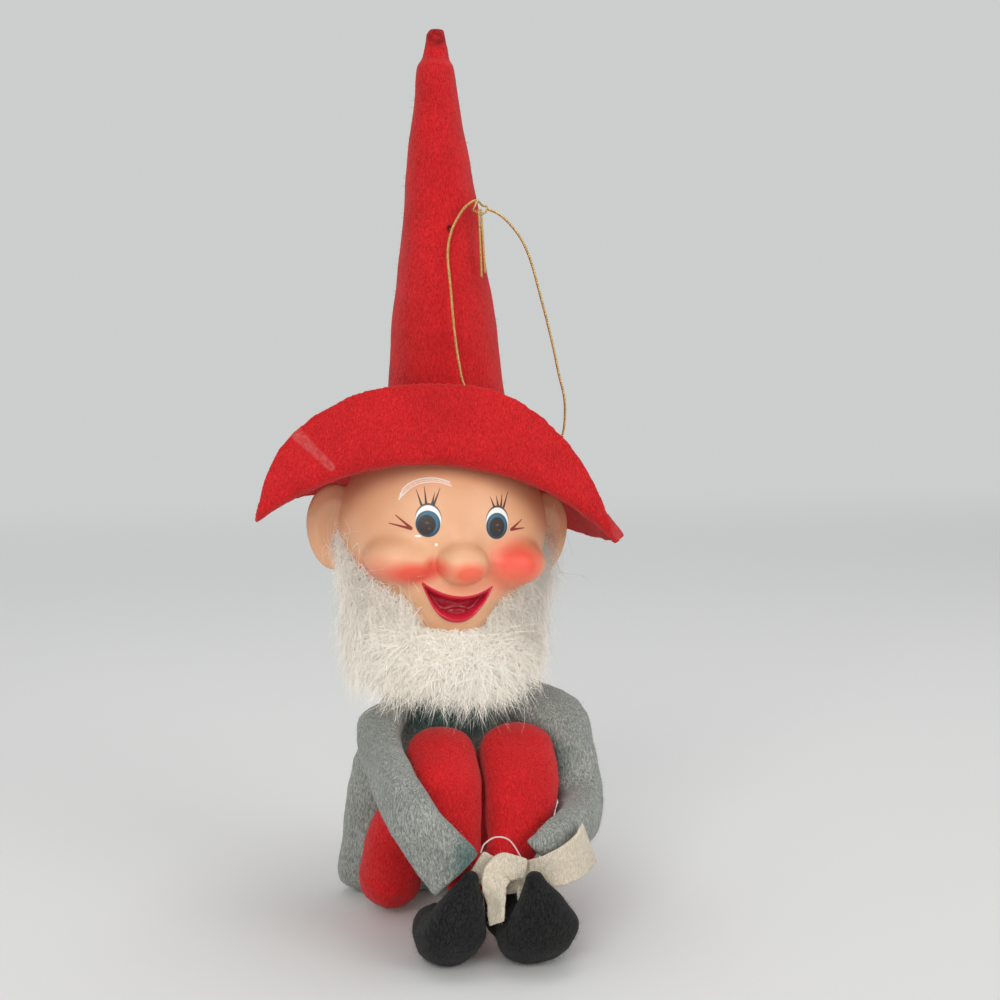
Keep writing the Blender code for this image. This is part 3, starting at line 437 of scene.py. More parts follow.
# The red felt hat. The crown is a tall cone sewn up the back and stuffed hard, and the brim is one
# flat cut disc glued under it, folded up in front. Old glue has left a pale crust on the right.
red_felt = felt(
    "red_felt", (0.4, 0.006, 0.009), (0.76, 0.024, 0.027), 3000, 0.6, 0.00012, 0.3, (1, 0.42, 0.4)
)


def hairs(name, paths, thickness, tones, finish, slot, faces_out=None):
    """Closed three-sided hairs: rings along each path, a cap at the root and a point at the tip.

    faces_out gives each hair the way that its pelt faces, so that it is lit as part of the pelt.
    """
    count, steps, _ = paths.shape
    along = np.gradient(paths, axis=1)
    along /= np.linalg.norm(along, axis=2, keepdims=True)
    side = np.cross(along, np.array([0.31, 0.17, 0.94]))
    side /= np.linalg.norm(side, axis=2, keepdims=True)
    up = np.cross(along, side)
    taper = np.linspace(1, 0.3, steps - 1)
    corners, rings = [], []
    for k in range(3):
        turn = math.tau * k / 3
        ring = side[:, :-1] * math.cos(turn) + up[:, :-1] * math.sin(turn)
        rings.append(ring)
        corners.append(paths[:, :-1] + ring * (thickness[:, None] * taper)[..., None])
    body = np.stack(corners, axis=2).reshape(count, (steps - 1) * 3, 3)
    points = np.concatenate([body, paths[:, -1:]], axis=1)
    each = points.shape[1]
    pattern = [(0, 2, 1)]
    for s in range(steps - 2):
        for k in range(3):
            a, b = s * 3 + k, s * 3 + (k + 1) % 3
            pattern.append((a, b, b + 3))
            pattern.append((a, b + 3, a + 3))
    last = (steps - 2) * 3
    pattern += [(last + k, last + (k + 1) % 3, each - 1) for k in range(3)]
    faces = (np.array(pattern)[None] + np.arange(count)[:, None, None] * each).reshape(-1, 3)
    mesh = bpy.data.meshes.new(name)
    mesh.vertices.add(count * each)
    mesh.vertices.foreach_set("co", points.astype(np.float32).ravel())
    mesh.loops.add(len(faces) * 3)
    mesh.loops.foreach_set("vertex_index", faces.astype(np.int32).ravel())
    mesh.polygons.add(len(faces))
    mesh.polygons.foreach_set("loop_start", np.arange(len(faces), dtype=np.int32) * 3)
    mesh.update(calc_edges=True)
    mesh.attributes.new("strand_tone", "FLOAT", "POINT").data.foreach_set(
        "value", np.repeat(tones, each).astype(np.float32)
    )
    mesh.shade_smooth()
    if faces_out is not None:
        own = np.concatenate([np.stack(rings, axis=2).reshape(count, -1, 3), along[:, -1:]], axis=1)
        lit = faces_out[:, None] + own * 0.45
        lit /= np.linalg.norm(lit, axis=2, keepdims=True)
        mesh.normals_split_custom_set_from_vertices(lit.reshape(-1, 3).astype(np.float32))
    mesh.materials.append(finish)
    piece = bpy.data.objects.new(name, mesh)
    scene.collection.objects.link(piece)
    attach(piece, "root")
    return piece


def triangles(mesh):
    """The corners of a mesh's triangles."""
    mesh.calc_loop_triangles()
    corners = np.empty(len(mesh.loop_triangles) * 3, np.int32)
    mesh.loop_triangles.foreach_get("vertices", corners)
    return corners.reshape(-1, 3)


def scattered(points, corners, weights, chance, count):
    """Places spread evenly over weighted triangles, with the triangle that each one is on."""
    a, b, c = (points[corners[:, k]] for k in range(3))
    area = np.linalg.norm(np.cross(b - a, c - a), axis=1) * weights
    chosen = chance.choice(len(corners), count, p=area / area.sum())
    u, v = chance.random((2, count, 1))
    over = u + v > 1
    u, v = np.where(over, 1 - u, u), np.where(over, 1 - v, v)
    return a[chosen] + (b[chosen] - a[chosen]) * u + (c[chosen] - a[chosen]) * v, chosen


def fuzz(name, piece, count, longest, slot):
    """Loose fibre ends that stand off a felt, each with a bend in it."""
    corners = triangles(piece.data)
    points, normals = places(piece)
    fibre_random = np.random.default_rng(len(name) + count)
    root, chosen = scattered(points, corners, 1, fibre_random, count)
    out = normals[corners[chosen, 0]]
    lean = fibre_random.normal(size=(count, 3)) * 0.6
    length = longest * MM * (0.35 + 0.65 * fibre_random.random((count, 1)))
    middle = root + (out * 0.8 + lean) * length * 0.5
    tip = middle + (out * 0.35 + lean + fibre_random.normal(size=(count, 3)) * 0.5) * length * 0.5
    paths = np.stack([root - out * 0.1 * MM, middle, tip], axis=1)
    paths[..., 2] = np.maximum(paths[..., 2], 0.6 * FLOOR_CLEAR)
    thickness = np.full(count, 0.035 * MM) * (0.6 + 0.8 * fibre_random.random(count))
    return hairs(name, paths, thickness, fibre_random.random(count), piece.data.materials[0], slot)


spot_group, given, result = shader_group(
    "paint_spot",
    {"Place": "Vector", "Centre": "Vector", "Half Size": "Vector", "Softness": "Float"},
    {"Mask": "Float"},
)
offset = wire(spot_group, "VectorMath", {0: given["Place"], 1: given["Centre"]}, operation="SUBTRACT")
shrunk = wire(spot_group, "VectorMath", {0: offset, 1: given["Half Size"]}, operation="DIVIDE")
size = wire(spot_group, "VectorMath", {0: shrunk}, out="Value", operation="LENGTH")
edge = wire(spot_group, "Math", {0: 1, 1: size}, operation="SUBTRACT")
soft = wire(spot_group, "Math", {0: edge, 1: given["Softness"]}, operation="DIVIDE", use_clamp=True)
feed(spot_group, result, {"Mask": soft})

stroke_group, given, result = shader_group(
    "paint_stroke",
    {"Place": "Vector", "From": "Vector", "To": "Vector", "Width": "Float", "Taper": "Float"},
    {"Mask": "Float"},
)
away = wire(stroke_group, "VectorMath", {0: given["Place"], 1: given["From"]}, operation="SUBTRACT")
whole = wire(stroke_group, "VectorMath", {0: given["To"], 1: given["From"]}, operation="SUBTRACT")
along = wire(stroke_group, "VectorMath", {0: away, 1: whole}, out="Value", operation="DOT_PRODUCT")
squared = wire(stroke_group, "VectorMath", {0: whole, 1: whole}, out="Value", operation="DOT_PRODUCT")
share = wire(stroke_group, "Math", {0: along, 1: squared}, operation="DIVIDE", use_clamp=True)
nearest = wire(stroke_group, "VectorMath", {0: whole, "Scale": share}, operation="SCALE")
gap = wire(stroke_group, "VectorMath", {0: away, 1: nearest}, out="Value", operation="DISTANCE")
thins = wire(stroke_group, "Math", {0: share, 1: given["Taper"]}, operation="MULTIPLY")
keeps = wire(stroke_group, "Math", {0: 1, 1: thins}, operation="SUBTRACT")
brush = wire(stroke_group, "Math", {0: keeps, 1: given["Width"]}, operation="MULTIPLY")
ratio = wire(stroke_group, "Math", {0: gap, 1: brush}, operation="DIVIDE")
covers = wire(stroke_group, "MapRange", {"Value": ratio, "From Min": 1.25, "From Max": 0.75})
feed(stroke_group, result, {"Mask": covers})

crown = stuffed("hat_crown", "hat_cone", 1.3 * MM, 0.5 * MM, (28 * MM, 0.9 * MM), (9 * MM, 0.35 * MM))


def marked_felt(name, felt_below, group, values, colour, strength):
    """A felt with one mark on it: its own copy of the material, with a stain (the glue) or painted shade (the
    tip and the pin hole) laid over a mask.
    """
    finish = felt_below.copy()
    finish.name = name
    tree = finish.node_tree
    shader = tree.nodes["Principled BSDF"]
    below = shader.inputs["Base Color"].links[0].from_socket
    where = wire(tree, "TexCoord", {}, out="Object")
    mark = wire(tree, "Group", {"Place": where, **values}, node_tree=group)
    mark_noise = wire(tree, "TexNoise", {"Vector": where, "Scale": 900, "Detail": 3})
    limits = {"From Min": 0.35, "From Max": 0.6, "To Min": 0.35 * strength, "To Max": strength}
    patchy = wire(tree, "MapRange", {"Value": mark_noise, **limits})
    held = wire(tree, "Math", {0: mark, 1: patchy}, operation="MULTIPLY")
    over = wire(tree, "MixRGB", {"Fac": held, "Color1": below, "Color2": (*colour, 1)})
    feed(tree, shader, {"Base Color": over})
    return finish


# The pinched tip is painted darker for 7 mm below its top: painted shade where the felt folds in.
crown_points, _ = places(crown)
tip = Vector(crown_points[crown_points[:, 2].argmax()])
shade_down_to = tip - Vector((0, 0, 7)) * MM
shaded_tip = marked_felt(
    "red_felt_tip", red_felt, stroke_group,
    {"From": tip, "To": shade_down_to, "Width": 4.5 * MM, "Taper": 0.5}, (0.16, 0.005, 0.006), 0.85,
)
# The pin hole is a dark spot painted on the crown: painted shade standing in for the hole.
pin_hole = seen_at(450, 229, crown)[0]
hole_size = Vector((1.2, 1.2, 1.6)) * MM
crown_felt = marked_felt(
    "red_felt_crown", shaded_tip, spot_group,
    {"Centre": pin_hole, "Half Size": hole_size, "Softness": 0.4}, (0.05, 0.002, 0.003), 1.0,
)
crown.data.materials.append(crown_felt)
fuzz("crown_fuzz", crown, 2600, 1.3, "red_felt")
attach(crown, "root")
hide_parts("hat_cone")

brim = whole_copy("brim", "hat_brim")
finish_modifier(brim, "REMESH", mode="VOXEL", voxel_size=0.55 * MM, use_smooth_shade=True)
finish_modifier(brim, "SMOOTH", iterations=3, factor=0.5)
lumpy(brim, (26 * MM, 0.7 * MM), (7 * MM, 0.22 * MM), (1.6 * MM, 0.12 * MM))
brim.data.shade_smooth()
glue_from, glue_to = seen_at(297, 434, brim)[0], seen_at(331, 467, brim)[0]
crusted_felt = marked_felt(
    "red_felt_brim", red_felt, stroke_group,
    {"From": glue_from, "To": glue_to, "Width": 1.7 * MM, "Taper": 0.35}, (0.58, 0.17, 0.16), 0.42,
)
brim.data.materials.append(crusted_felt)
fuzz("brim_fuzz", brim, 5200, 1.3, "red_felt")
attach(brim, "root")
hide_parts("hat_brim")

# The soft vinyl head, moulded in one skin with its ears, round nose and cheeks, and an open
# smile. Eyes, lashes and lines are painted on by hand, and the cheeks are airbrushed.
HEAD_CENTRE = Vector((3.05, 8.72, 120)) * MM
HEAD_TILT, HEAD_YAW = math.radians(3), math.radians(-3)
HEAD_RADII = np.array([32.5, 31, 32]) * MM
head_place = (
    Matrix.Translation(HEAD_CENTRE) @ Matrix.Rotation(HEAD_YAW, 4, "Z") @ Matrix.Rotation(HEAD_TILT, 4, "Y")
)


def blob(points, centre, radii):
    """How far points are outside an egg shape."""
    scaled = (points - np.array(centre)) / np.array(radii)
    size = np.linalg.norm(scaled, axis=-1)
    slope = np.linalg.norm(scaled / np.array(radii), axis=-1)
    return size * (size - 1) / np.maximum(slope, 1e-9)


def melted(a, b, width):
    """Two shapes run together with a fillet of a width."""
    near = np.maximum(width - np.abs(a - b), 0) / width
    return np.minimum(a, b) - near * near * width / 4


def head_shape(points):
    """How far points are outside the moulded face and skull, in the head's own axes."""
    shape = blob(points, (0, 0, 0), HEAD_RADII)
    muzzle = blob(points, (0, -20.5 * MM, -17.3 * MM), (13.6 * MM, 10.2 * MM, 9 * MM))
    shape = melted(shape, muzzle, 4.5 * MM)
    chin = blob(points, (0, -18.6 * MM, -25.3 * MM), (11 * MM, 8.4 * MM, 6.4 * MM))
    shape = melted(shape, chin, 4.5 * MM)
    for side in (-1, 1):
        cheek = blob(points, (side * 15.8 * MM, -21.2 * MM, -8.4 * MM), (12 * MM, 10.8 * MM, 7.6 * MM))
        shape = melted(shape, cheek, 2.4 * MM)
    bridge = blob(points, (0, -27.5 * MM, -3.5 * MM), (5.5 * MM, 5.5 * MM, 7 * MM))
    shape = melted(shape, bridge, 3 * MM)
    nose = blob(points, (-0.2 * MM, -33 * MM, -8.4 * MM), (7.6 * MM, 7.2 * MM, 6.1 * MM))
    return melted(shape, nose, 2.2 * MM)


def outer_reach(directions, start, far):
    """How far out the head reaches along each direction from a start."""
    steps = np.linspace(far, 0, 90)
    low, high = np.zeros(len(directions)), np.full(len(directions), far)
    found = np.zeros(len(directions), bool)
    for outer, inner in zip(steps, steps[1:]):
        enters = ~found & (head_shape(start + directions * inner) < 0)
        low[enters], high[enters] = inner, outer
        found |= enters
    for _ in range(16):
        middle = (low + high) / 2
        inside = head_shape(start + directions * middle[:, None]) < 0
        low, high = np.where(inside, middle, low), np.where(inside, high, middle)
    return np.where(found, (low + high) / 2, 0)


def eased_step(value):
    value = np.clip(value, 0, 1)
    return value * value * (3 - 2 * value)


def round_ball(segments, rings):
    """A ball 2 m across with its poles at the front and the back, to be pushed into shape."""
    bpy.ops.object.select_all(action="DESELECT")
    bpy.ops.mesh.primitive_uv_sphere_add(segments=segments, ring_count=rings, rotation=(math.pi / 2, 0, 0))
    bpy.ops.object.transform_apply(location=True, rotation=True, scale=True)
    return bpy.context.active_object


HEAD_START_REACH = 55 * MM
head = round_ball(180, 120)
head.name = "vinyl_head"
directions, _ = places(head)
directions /= np.linalg.norm(directions, axis=1, keepdims=True)
set_places(head, directions * outer_reach(directions, np.zeros(3), HEAD_START_REACH)[:, None])
for side in (-1, 1):
    ear = round_ball(64, 40)
    shell, _ = places(ear)
    rim = np.hypot(shell[:, 0], shell[:, 2])
    tall = 1 + 0.12 * shell[:, 2]
    dish = np.where(shell[:, 1] < 0, 0.8 * np.exp(-((rim / 0.66) ** 2)), 0)
    lobe = np.stack([shell[:, 0] * 9 * tall, (shell[:, 1] + dish) * 3.3, shell[:, 2] * 13.5], axis=1) * MM
    inner = 0.35 * MM * np.exp(-(((rim - 0.62) / 0.1) ** 2)) * (shell[:, 1] < 0)
    lobe[:, 1] -= inner
    turn = np.array(Matrix.Rotation(side * math.radians(14), 3, "Z"))
    set_places(ear, lobe @ turn.T + np.array([side * 33.4, 3, -1.5]) * MM)
    bpy.ops.object.select_all(action="DESELECT")
    ear.select_set(True)
    head.select_set(True)
    bpy.context.view_layer.objects.active = head
    bpy.ops.object.join()
finish_modifier(head, "REMESH", mode="VOXEL", voxel_size=0.5 * MM, use_smooth_shade=True)
finish_modifier(head, "SMOOTH", iterations=4, factor=0.5)
skin_points, _ = places(head)
across = (skin_points[:, 0] + 0.6 * MM) / (10.4 * MM)
upper_lip = (-18.4 + 3.2 * across**2 - 0.4 * across) * MM
lower_lip = (-25.6 + 10.4 * np.abs(across) ** 2.3 - 0.4 * across) * MM
below_upper, above_lower = upper_lip - skin_points[:, 2], skin_points[:, 2] - lower_lip
inside = np.minimum(below_upper * 1.5, above_lower)
front = (skin_points[:, 1] < -18 * MM) & (np.abs(across) < 1.05)
mouth_depth = np.where(front, inside, -5 * MM)
skin_points[:, 1] += 3.2 * MM * eased_step(mouth_depth / (2.4 * MM))
rim = np.exp(-(((mouth_depth + 0.3 * MM) / (0.8 * MM)) ** 2))
skin_points[:, 1] -= np.where(front & (above_lower < below_upper), 0.55, 0.25) * MM * rim
tongue = np.hypot(skin_points[:, 0] / (5.4 * MM), (skin_points[:, 2] + 24.4 * MM) / (2.9 * MM))
skin_points[:, 1] -= np.where(mouth_depth > 0, 1.5 * MM * eased_step((1.1 - tongue) / 0.5), 0)
set_places(head, skin_points)
head.data.attributes.new("mouth_depth", "FLOAT", "POINT").data.foreach_set(
    "value", (mouth_depth / MM).astype(np.float32)
)
head.data.transform(head_place)
head.data.shade_smooth()

vinyl, face_tree, shader = new_finish("painted_vinyl")
where = wire(face_tree, "TexCoord", {}, out="Object")
own_place = {"Vector": where, "Location": HEAD_CENTRE, "Rotation": head_place.to_euler()}
own_axes = wire(face_tree, "Mapping", own_place, vector_type="TEXTURE")
split = wire(face_tree, "SeparateXYZ", {"Vector": own_axes}).node.outputs
flat = wire(face_tree, "CombineXYZ", {"X": split["X"], "Z": split["Z"]})
in_front = wire(face_tree, "Math", {0: split["Y"], 1: -10 * MM}, operation="LESS_THAN")


def on_face(pair, depth=0):
    """A place or half size on the flat picture of the face, from (across, up) in millimetres."""
    return (pair[0] * MM, depth, pair[1] * MM)


def spot(centre, half, softness):
    """An oval of paint on the front of the face, as a mask."""
    values = {"Place": flat, "Centre": on_face(centre), "Half Size": on_face(half, 1), "Softness": softness}
    mark = wire(face_tree, "Group", values, node_tree=spot_group)
    return wire(face_tree, "Math", {0: mark, 1: in_front}, operation="MULTIPLY")


def stroke(start, end, width, taper=0.0):
    """A brush stroke on the front of the face, as a mask."""
    values = {"Place": flat, "From": on_face(start), "To": on_face(end), "Width": width * MM, "Taper": taper}
    mark = wire(face_tree, "Group", values, node_tree=stroke_group)
    return wire(face_tree, "Math", {0: mark, 1: in_front}, operation="MULTIPLY")


def lay_over(under, colour, mask, strength=1.0):
    """Paint of one colour over what is there, by a mask."""
    if strength != 1.0:
        mask = wire(face_tree, "Math", {0: mask, 1: strength}, operation="MULTIPLY")
    return wire(face_tree, "MixRGB", {"Fac": mask, "Color1": under, "Color2": (*colour, 1)})


uneven = wire(face_tree, "TexNoise", {"Vector": where, "Scale": 55, "Detail": 3})
coat = colour_ramp(face_tree, uneven, (0.3, (0.72, 0.38, 0.205)), (0.7, (0.8, 0.455, 0.265)))
RED = (0.84, 0.075, 0.045)
BLUSH = (
    ((0.82, 0.2, 0.13), (-22, -12.5), (13, 7), 0.8, 0.75),
    (RED, (-14, -11.8), (9.5, 4.4), 0.6, 0.9),
    (RED, (-8, -9.6), (4.4, 4), 0.7, 0.8),
    (RED, (17, -8.4), (12, 9.4), 0.6, 0.92),
    ((0.84, 0.22, 0.13), (14, -14.5), (12, 7), 0.9, 0.7),
    ((0.86, 0.12, 0.06), (0.9, -10.6), (8, 4.6), 0.6, 0.92),
    ((0.82, 0.24, 0.14), (0, -16), (13, 4.4), 0.9, 0.6),
)
for colour, centre, half, softness, strength in BLUSH:
    coat = lay_over(coat, colour, spot(centre, half, softness), strength)
for x, lean in ((-10.4, 0.0), (10.4, 0.35)):
    for colour, centre, half, softness, strength in (
        ((0.06, 0.03, 0.022), (x, 4.6), (3.8, 4.6), 0.07, 1.0),
        ((0.88, 0.88, 0.87), (x, 4.1), (3.75, 4.5), 0.07, 1.0),
        ((0.012, 0.045, 0.08), (x - 0.1, 3.0), (3.6, 4.0), 0.06, 1.0),
        ((0.03, 0.14, 0.23), (x, 3.3), (3.15, 3.55), 0.12, 1.0),
        ((0.02, 0.012, 0.009), (x - 0.45 + lean, 2.7), (2.65, 3.05), 0.08, 1.0),
        ((0.16, 0.09, 0.06), (x - 0.3 + lean, 3.3), (0.8, 0.45), 0.5, 0.6),
        ((0.13, 0.07, 0.05), (x + 0.3 + lean, 1.7), (0.6, 0.5), 0.5, 0.5),
    ):
        coat = lay_over(coat, colour, spot(centre, half, softness), strength)
BROWN = (0.05, 0.016, 0.012)
for start, end in (
    ((-12.4, 8.4), (-13.8, 12.8)),
    ((-11.1, 8.9), (-11.5, 13.8)),
    ((-9.4, 8.9), (-8.6, 12.2)),
    ((-8.9, 8.8), (-7, 13.6)),
    ((9.3, 8.7), (8.1, 11.6)),
    ((10.6, 9), (10.1, 11.9)),
    ((11.6, 8.9), (12.1, 12.4)),
    ((12.5, 8.6), (14.2, 13.2)),
):
    coat = lay_over(coat, BROWN, stroke(start, end, 0.34, 0.85))
for start, end in (
    ((-15.2, 1.3), (-21, 2.4)),
    ((-15.2, 1.5), (-19.4, 4.9)),
    ((15.2, 1.9), (19.9, 2.3)),
    ((15.4, 2.1), (18.9, 4.8)),
):
    coat = lay_over(coat, (0.26, 0.018, 0.014), stroke(start, end, 0.46, 0.7))
BROW = ((-17.5, 12.4), (-15.2, 14.6), (-11.8, 16.0), (-7.8, 16.3), (-4.2, 15.4))
for rise, light in ((0.0, 0.9), (-0.55, 0.55), (-1.1, 0.7)):
    hair = [(-18.4 + 0.5 * rise, 9.6 - rise), *BROW]
    hair = smooth_route([(x - 0.4 * rise, 0, z + rise) for x, z in hair], 11)
    for start, end in zip(hair, hair[1:]):
        coat = lay_over(coat, (0.86, 0.84, 0.8), stroke((start.x, start.z), (end.x, end.z), 0.17), light)
for place, half in (((-13.2, -0.7), (1.0, 0.35)), ((-7.9, -3.0), (0.5, 0.5))):
    coat = lay_over(coat, (0.88, 0.86, 0.84), spot(place, half, 0.15))
mouth = wire(face_tree, "Attribute", {}, out="Fac", attribute_name="mouth_depth")
wet = wire(face_tree, "TexNoise", {"Vector": where, "Scale": 900, "Detail": 3})
deeper = wire(face_tree, "Math", {0: mouth, 1: 0.2}, operation="MULTIPLY")
lip_colour = colour_ramp(face_tree, deeper, (0.2, (0.62, 0.018, 0.045)), (0.45, (0.3, 0.004, 0.014)))
lip_mask = wire(face_tree, "MapRange", {"Value": mouth, "From Min": -0.9, "From Max": -0.55})
lips = wire(face_tree, "MixRGB", {"Fac": lip_mask, "Color1": coat, "Color2": lip_colour})
scuffs = wire(face_tree, "TexNoise", {"Vector": where, "Scale": 420, "Detail": 4})
satin = wire(face_tree, "MapRange", {"Value": scuffs, "To Min": 0.34, "To Max": 0.56})
gloss = wire(face_tree, "MixRGB", {"Fac": lip_mask, "Color1": satin, "Color2": (0.16, 0.16, 0.16, 1)})
wet_ridges = wire(face_tree, "Math", {0: wet, 1: lip_mask}, operation="MULTIPLY")
surface = wire(face_tree, "Math", {0: scuffs, 1: 0.12, 2: wet_ridges}, operation="MULTIPLY_ADD")
pores = wire(face_tree, "Bump", {"Strength": 0.8, "Distance": 0.0003, "Height": surface})
feed(face_tree, shader, {"Base Color": lips, "Roughness": gloss, "Normal": pores})
feed(face_tree, shader, {"Subsurface Weight": 0.12, "Subsurface Scale": 0.002})
feed(face_tree, shader, {"Subsurface Radius": (1.0, 0.35, 0.15)})
head.data.materials.clear()
head.data.materials.append(vinyl)

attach(head, "root")
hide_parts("head")

# The beard: a strip of long white fur glued along the jaw from ear to ear. Its pile is fine and
# crimped, parts into locks below the chin, and lies thin over the shoulders.
fur_finish, fur_tree, shader = new_finish("white_fur")
strand_tone = wire(fur_tree, "Attribute", {}, out="Fac", attribute_name="strand_tone")
fur_colour_and_glow = colour_ramp(fur_tree, strand_tone, (0.0, (0.8, 0.71, 0.58)), (1.0, (1.0, 0.95, 0.86)))
# The fur also glows a little in its own colour: painted light standing in for light that passes through and
# between the hairs.
feed(fur_tree, shader, {"Base Color": fur_colour_and_glow, "Emission Color": fur_colour_and_glow, "Emission Strength": 0.13})
feed(fur_tree, shader, {"Roughness": 0.3, "Specular IOR Level": 0.8})

random = np.random.default_rng(7)
JAW_SPAN = math.radians(84)
ANGLES = np.radians(np.linspace(-92, 92, 93))
HEIGHTS = np.linspace(-33, 4, 60) * MM
compass = np.stack([np.sin(ANGLES), -np.cos(ANGLES), 0 * ANGLES], axis=1)
face_reach = np.array([outer_reach(compass, np.array([0, 0, h]), HEAD_START_REACH) for h in HEIGHTS])


def reach_at(angle, height):
    """How far the face stands from the head's upright axis, read from a grid of the moulded shape."""
    column = np.clip((angle - ANGLES[0]) / (ANGLES[1] - ANGLES[0]), 0, len(ANGLES) - 1.001)
    row = np.clip((height - HEIGHTS[0]) / (HEIGHTS[1] - HEIGHTS[0]), 0, len(HEIGHTS) - 1.001)
    c, r = column.astype(int), row.astype(int)
    u, v = column - c, row - r
    low = face_reach[r, c] * (1 - u) + face_reach[r, c + 1] * u
    high = face_reach[r + 1, c] * (1 - u) + face_reach[r + 1, c + 1] * u
    return low * (1 - v) + high * v


def hair_line(angle):
    """Height of the fur strip's upper edge at an angle from straight ahead."""
    away = np.abs(angle) / JAW_SPAN
    return (-28.8 + 25 * np.minimum(away, 1.05) ** 2.1) * MM


DOWN = np.array([0, 0, -1])
LOCK_COUNT = 19
lock_angles = np.sort(np.linspace(-1.6, 1.6, LOCK_COUNT) + 0.03 * random.normal(size=LOCK_COUNT))
lock_leans = 0.2 * random.normal(size=LOCK_COUNT)
lock_lengths = 0.7 + 0.6 * random.random(LOCK_COUNT)
lock_tones = 0.1 * random.normal(size=LOCK_COUNT)
into_head, out_of_head = np.array(head_place.inverted()), np.array(head_place)


def carried(points, matrix):
    """Points taken into or out of the head's own axes."""
    return points @ matrix[:3, :3].T + matrix[:3, 3]


def hang_straight(local):
    """Draws in what stands out too far, in the head's axes, so that the fur hangs straight below the ears."""
    wide = (28.5 + 5.5 * eased_step(local[..., 2] / (20 * MM) + 1.3)) * MM
    spare = np.maximum(np.abs(local[..., 0]) - wide, 0)
    drawn = local.copy()
    drawn[..., 0] -= np.sign(local[..., 0]) * spare * 0.68
    return drawn


PELT_INSET, SKIN_GAP, NECK_REACH = 1.3 * MM, 0.6 * MM, 21 * MM
pelt = whole_copy("beard_pelt", "beard")
finish_modifier(pelt, "REMESH", mode="VOXEL", voxel_size=0.9 * MM, use_smooth_shade=True)
finish_modifier(pelt, "SMOOTH", iterations=4, factor=0.5)
pelt_points, pelt_normals = places(pelt)
pelt_points = carried(pelt_points - pelt_normals * PELT_INSET, into_head)
round_angle = np.arctan2(pelt_points[:, 0], -pelt_points[:, 1])
from_axis = np.hypot(pelt_points[:, 0], pelt_points[:, 1])
skin = np.maximum(reach_at(round_angle, pelt_points[:, 2]), NECK_REACH) + SKIN_GAP
below_line = hair_line(round_angle) - pelt_points[:, 2]
fullness = 0.12 + 0.88 * eased_step((below_line + 1 * MM) / (12 * MM))
fullness *= 1 - 0.6 * np.clip(np.abs(round_angle) / JAW_SPAN, 0, 1) ** 2
slimmer = (skin + (from_axis - skin) * fullness) / from_axis
pelt_points[:, :2] *= slimmer[:, None]
pelt_points = carried(hang_straight(pelt_points), out_of_head)
lowest = HEAD_CENTRE.z - 36 * MM
too_low = np.maximum(lowest - pelt_points[:, 2], 0)
pelt_points[:, 2] = np.where(too_low > 0, lowest - 0.25 * too_low, pelt_points[:, 2])
set_places(pelt, pelt_points)
lumpy(pelt, (7 * MM, 0.8 * MM), (2.2 * MM, 0.4 * MM))
pelt.data.attributes.new("strand_tone", "FLOAT", "POINT").data.foreach_set(
    "value", np.full(len(pelt_points), 0.7, np.float32)
)
pelt.data.shade_smooth()
pelt.data.materials.append(fur_finish)
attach(pelt, "root")
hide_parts("beard")


def comb(roots, outward, lengths, lift, frizz, thickness):
    """Hairs from their roots. Each leaves outwards, then falls, drawn to the tip of its lock."""
    count = len(roots)
    local = carried(roots, into_head)
    angle = np.arctan2(local[:, 0], -local[:, 1])
    away = np.clip(np.abs(angle) / JAW_SPAN, 0, 1)
    round_jaw = np.stack([np.cos(angle), np.sin(angle), 0 * angle], axis=1)
    lock = np.abs(angle[:, None] + 0.03 * random.normal(size=(count, 1)) - lock_angles).argmin(axis=1)
    draw = np.clip((lock_angles[lock] - angle) * 12, -0.95, 0.95)
    length = (lengths[0] + (lengths[1] - lengths[0]) * random.random(count)) * lock_lengths[lock] * MM
    length = length * (1 + 0.6 * away)
    parted = 6 * np.exp(-(((np.abs(angle) - 0.75) / 0.17) ** 2))
    room = local[:, 2] + (43 + 14 * lock_lengths[lock] - 7 * away**2 - parted) * MM
    room = room + 2.5 * MM * random.normal(size=count)
    hanging = 0.8 * room * (local[:, 2] < -30 * MM)
    length = np.clip(np.maximum(length, hanging), 3 * MM, np.maximum(room, 3.5 * MM))
    steps = 7
    path = [roots]
    stray = random.normal(size=(count, 3)) * frizz
    curl = random.normal(size=(count, 3)) * frizz * 1.6
    phase = random.random((count, 1)) * math.tau
    for s in range(1, steps):
        t = (s - 0.5) / (steps - 1)
        fall = lift * (1 - t) ** 1.4 * (1 - 0.85 * away)
        pull = draw * (0.2 + 1.3 * t) + lock_leans[lock] * t
        heading = outward * fall[:, None] + round_jaw * pull[:, None] + DOWN * (0.45 + 0.8 * t)
        heading = heading + stray * (0.5 + t) + curl * np.sin(6.5 * t + phase)
        heading /= np.linalg.norm(heading, axis=1, keepdims=True)
        path.append(path[-1] + heading * (length / (steps - 1))[:, None])
    in_head = hang_straight(carried(np.stack(path, axis=1), into_head))
    paths = carried(in_head, out_of_head)
    over_mouth = (np.abs(in_head[..., 0]) < 10 * MM) & (in_head[..., 2] > -28 * MM)
    kept = ~(over_mouth & (in_head[..., 1] < -15 * MM)).any(axis=1)
    tones = np.clip(0.68 + lock_tones[lock] + 0.3 * random.normal(size=count), 0, 1)
    sizes = thickness * MM * (0.7 + 0.6 * random.random(count))
    flat_out = np.stack([np.sin(angle), -np.cos(angle), 0.25 + 0 * angle], axis=1)
    return (paths[kept], sizes[kept], tones[kept], fur_finish, "fur", flat_out[kept])


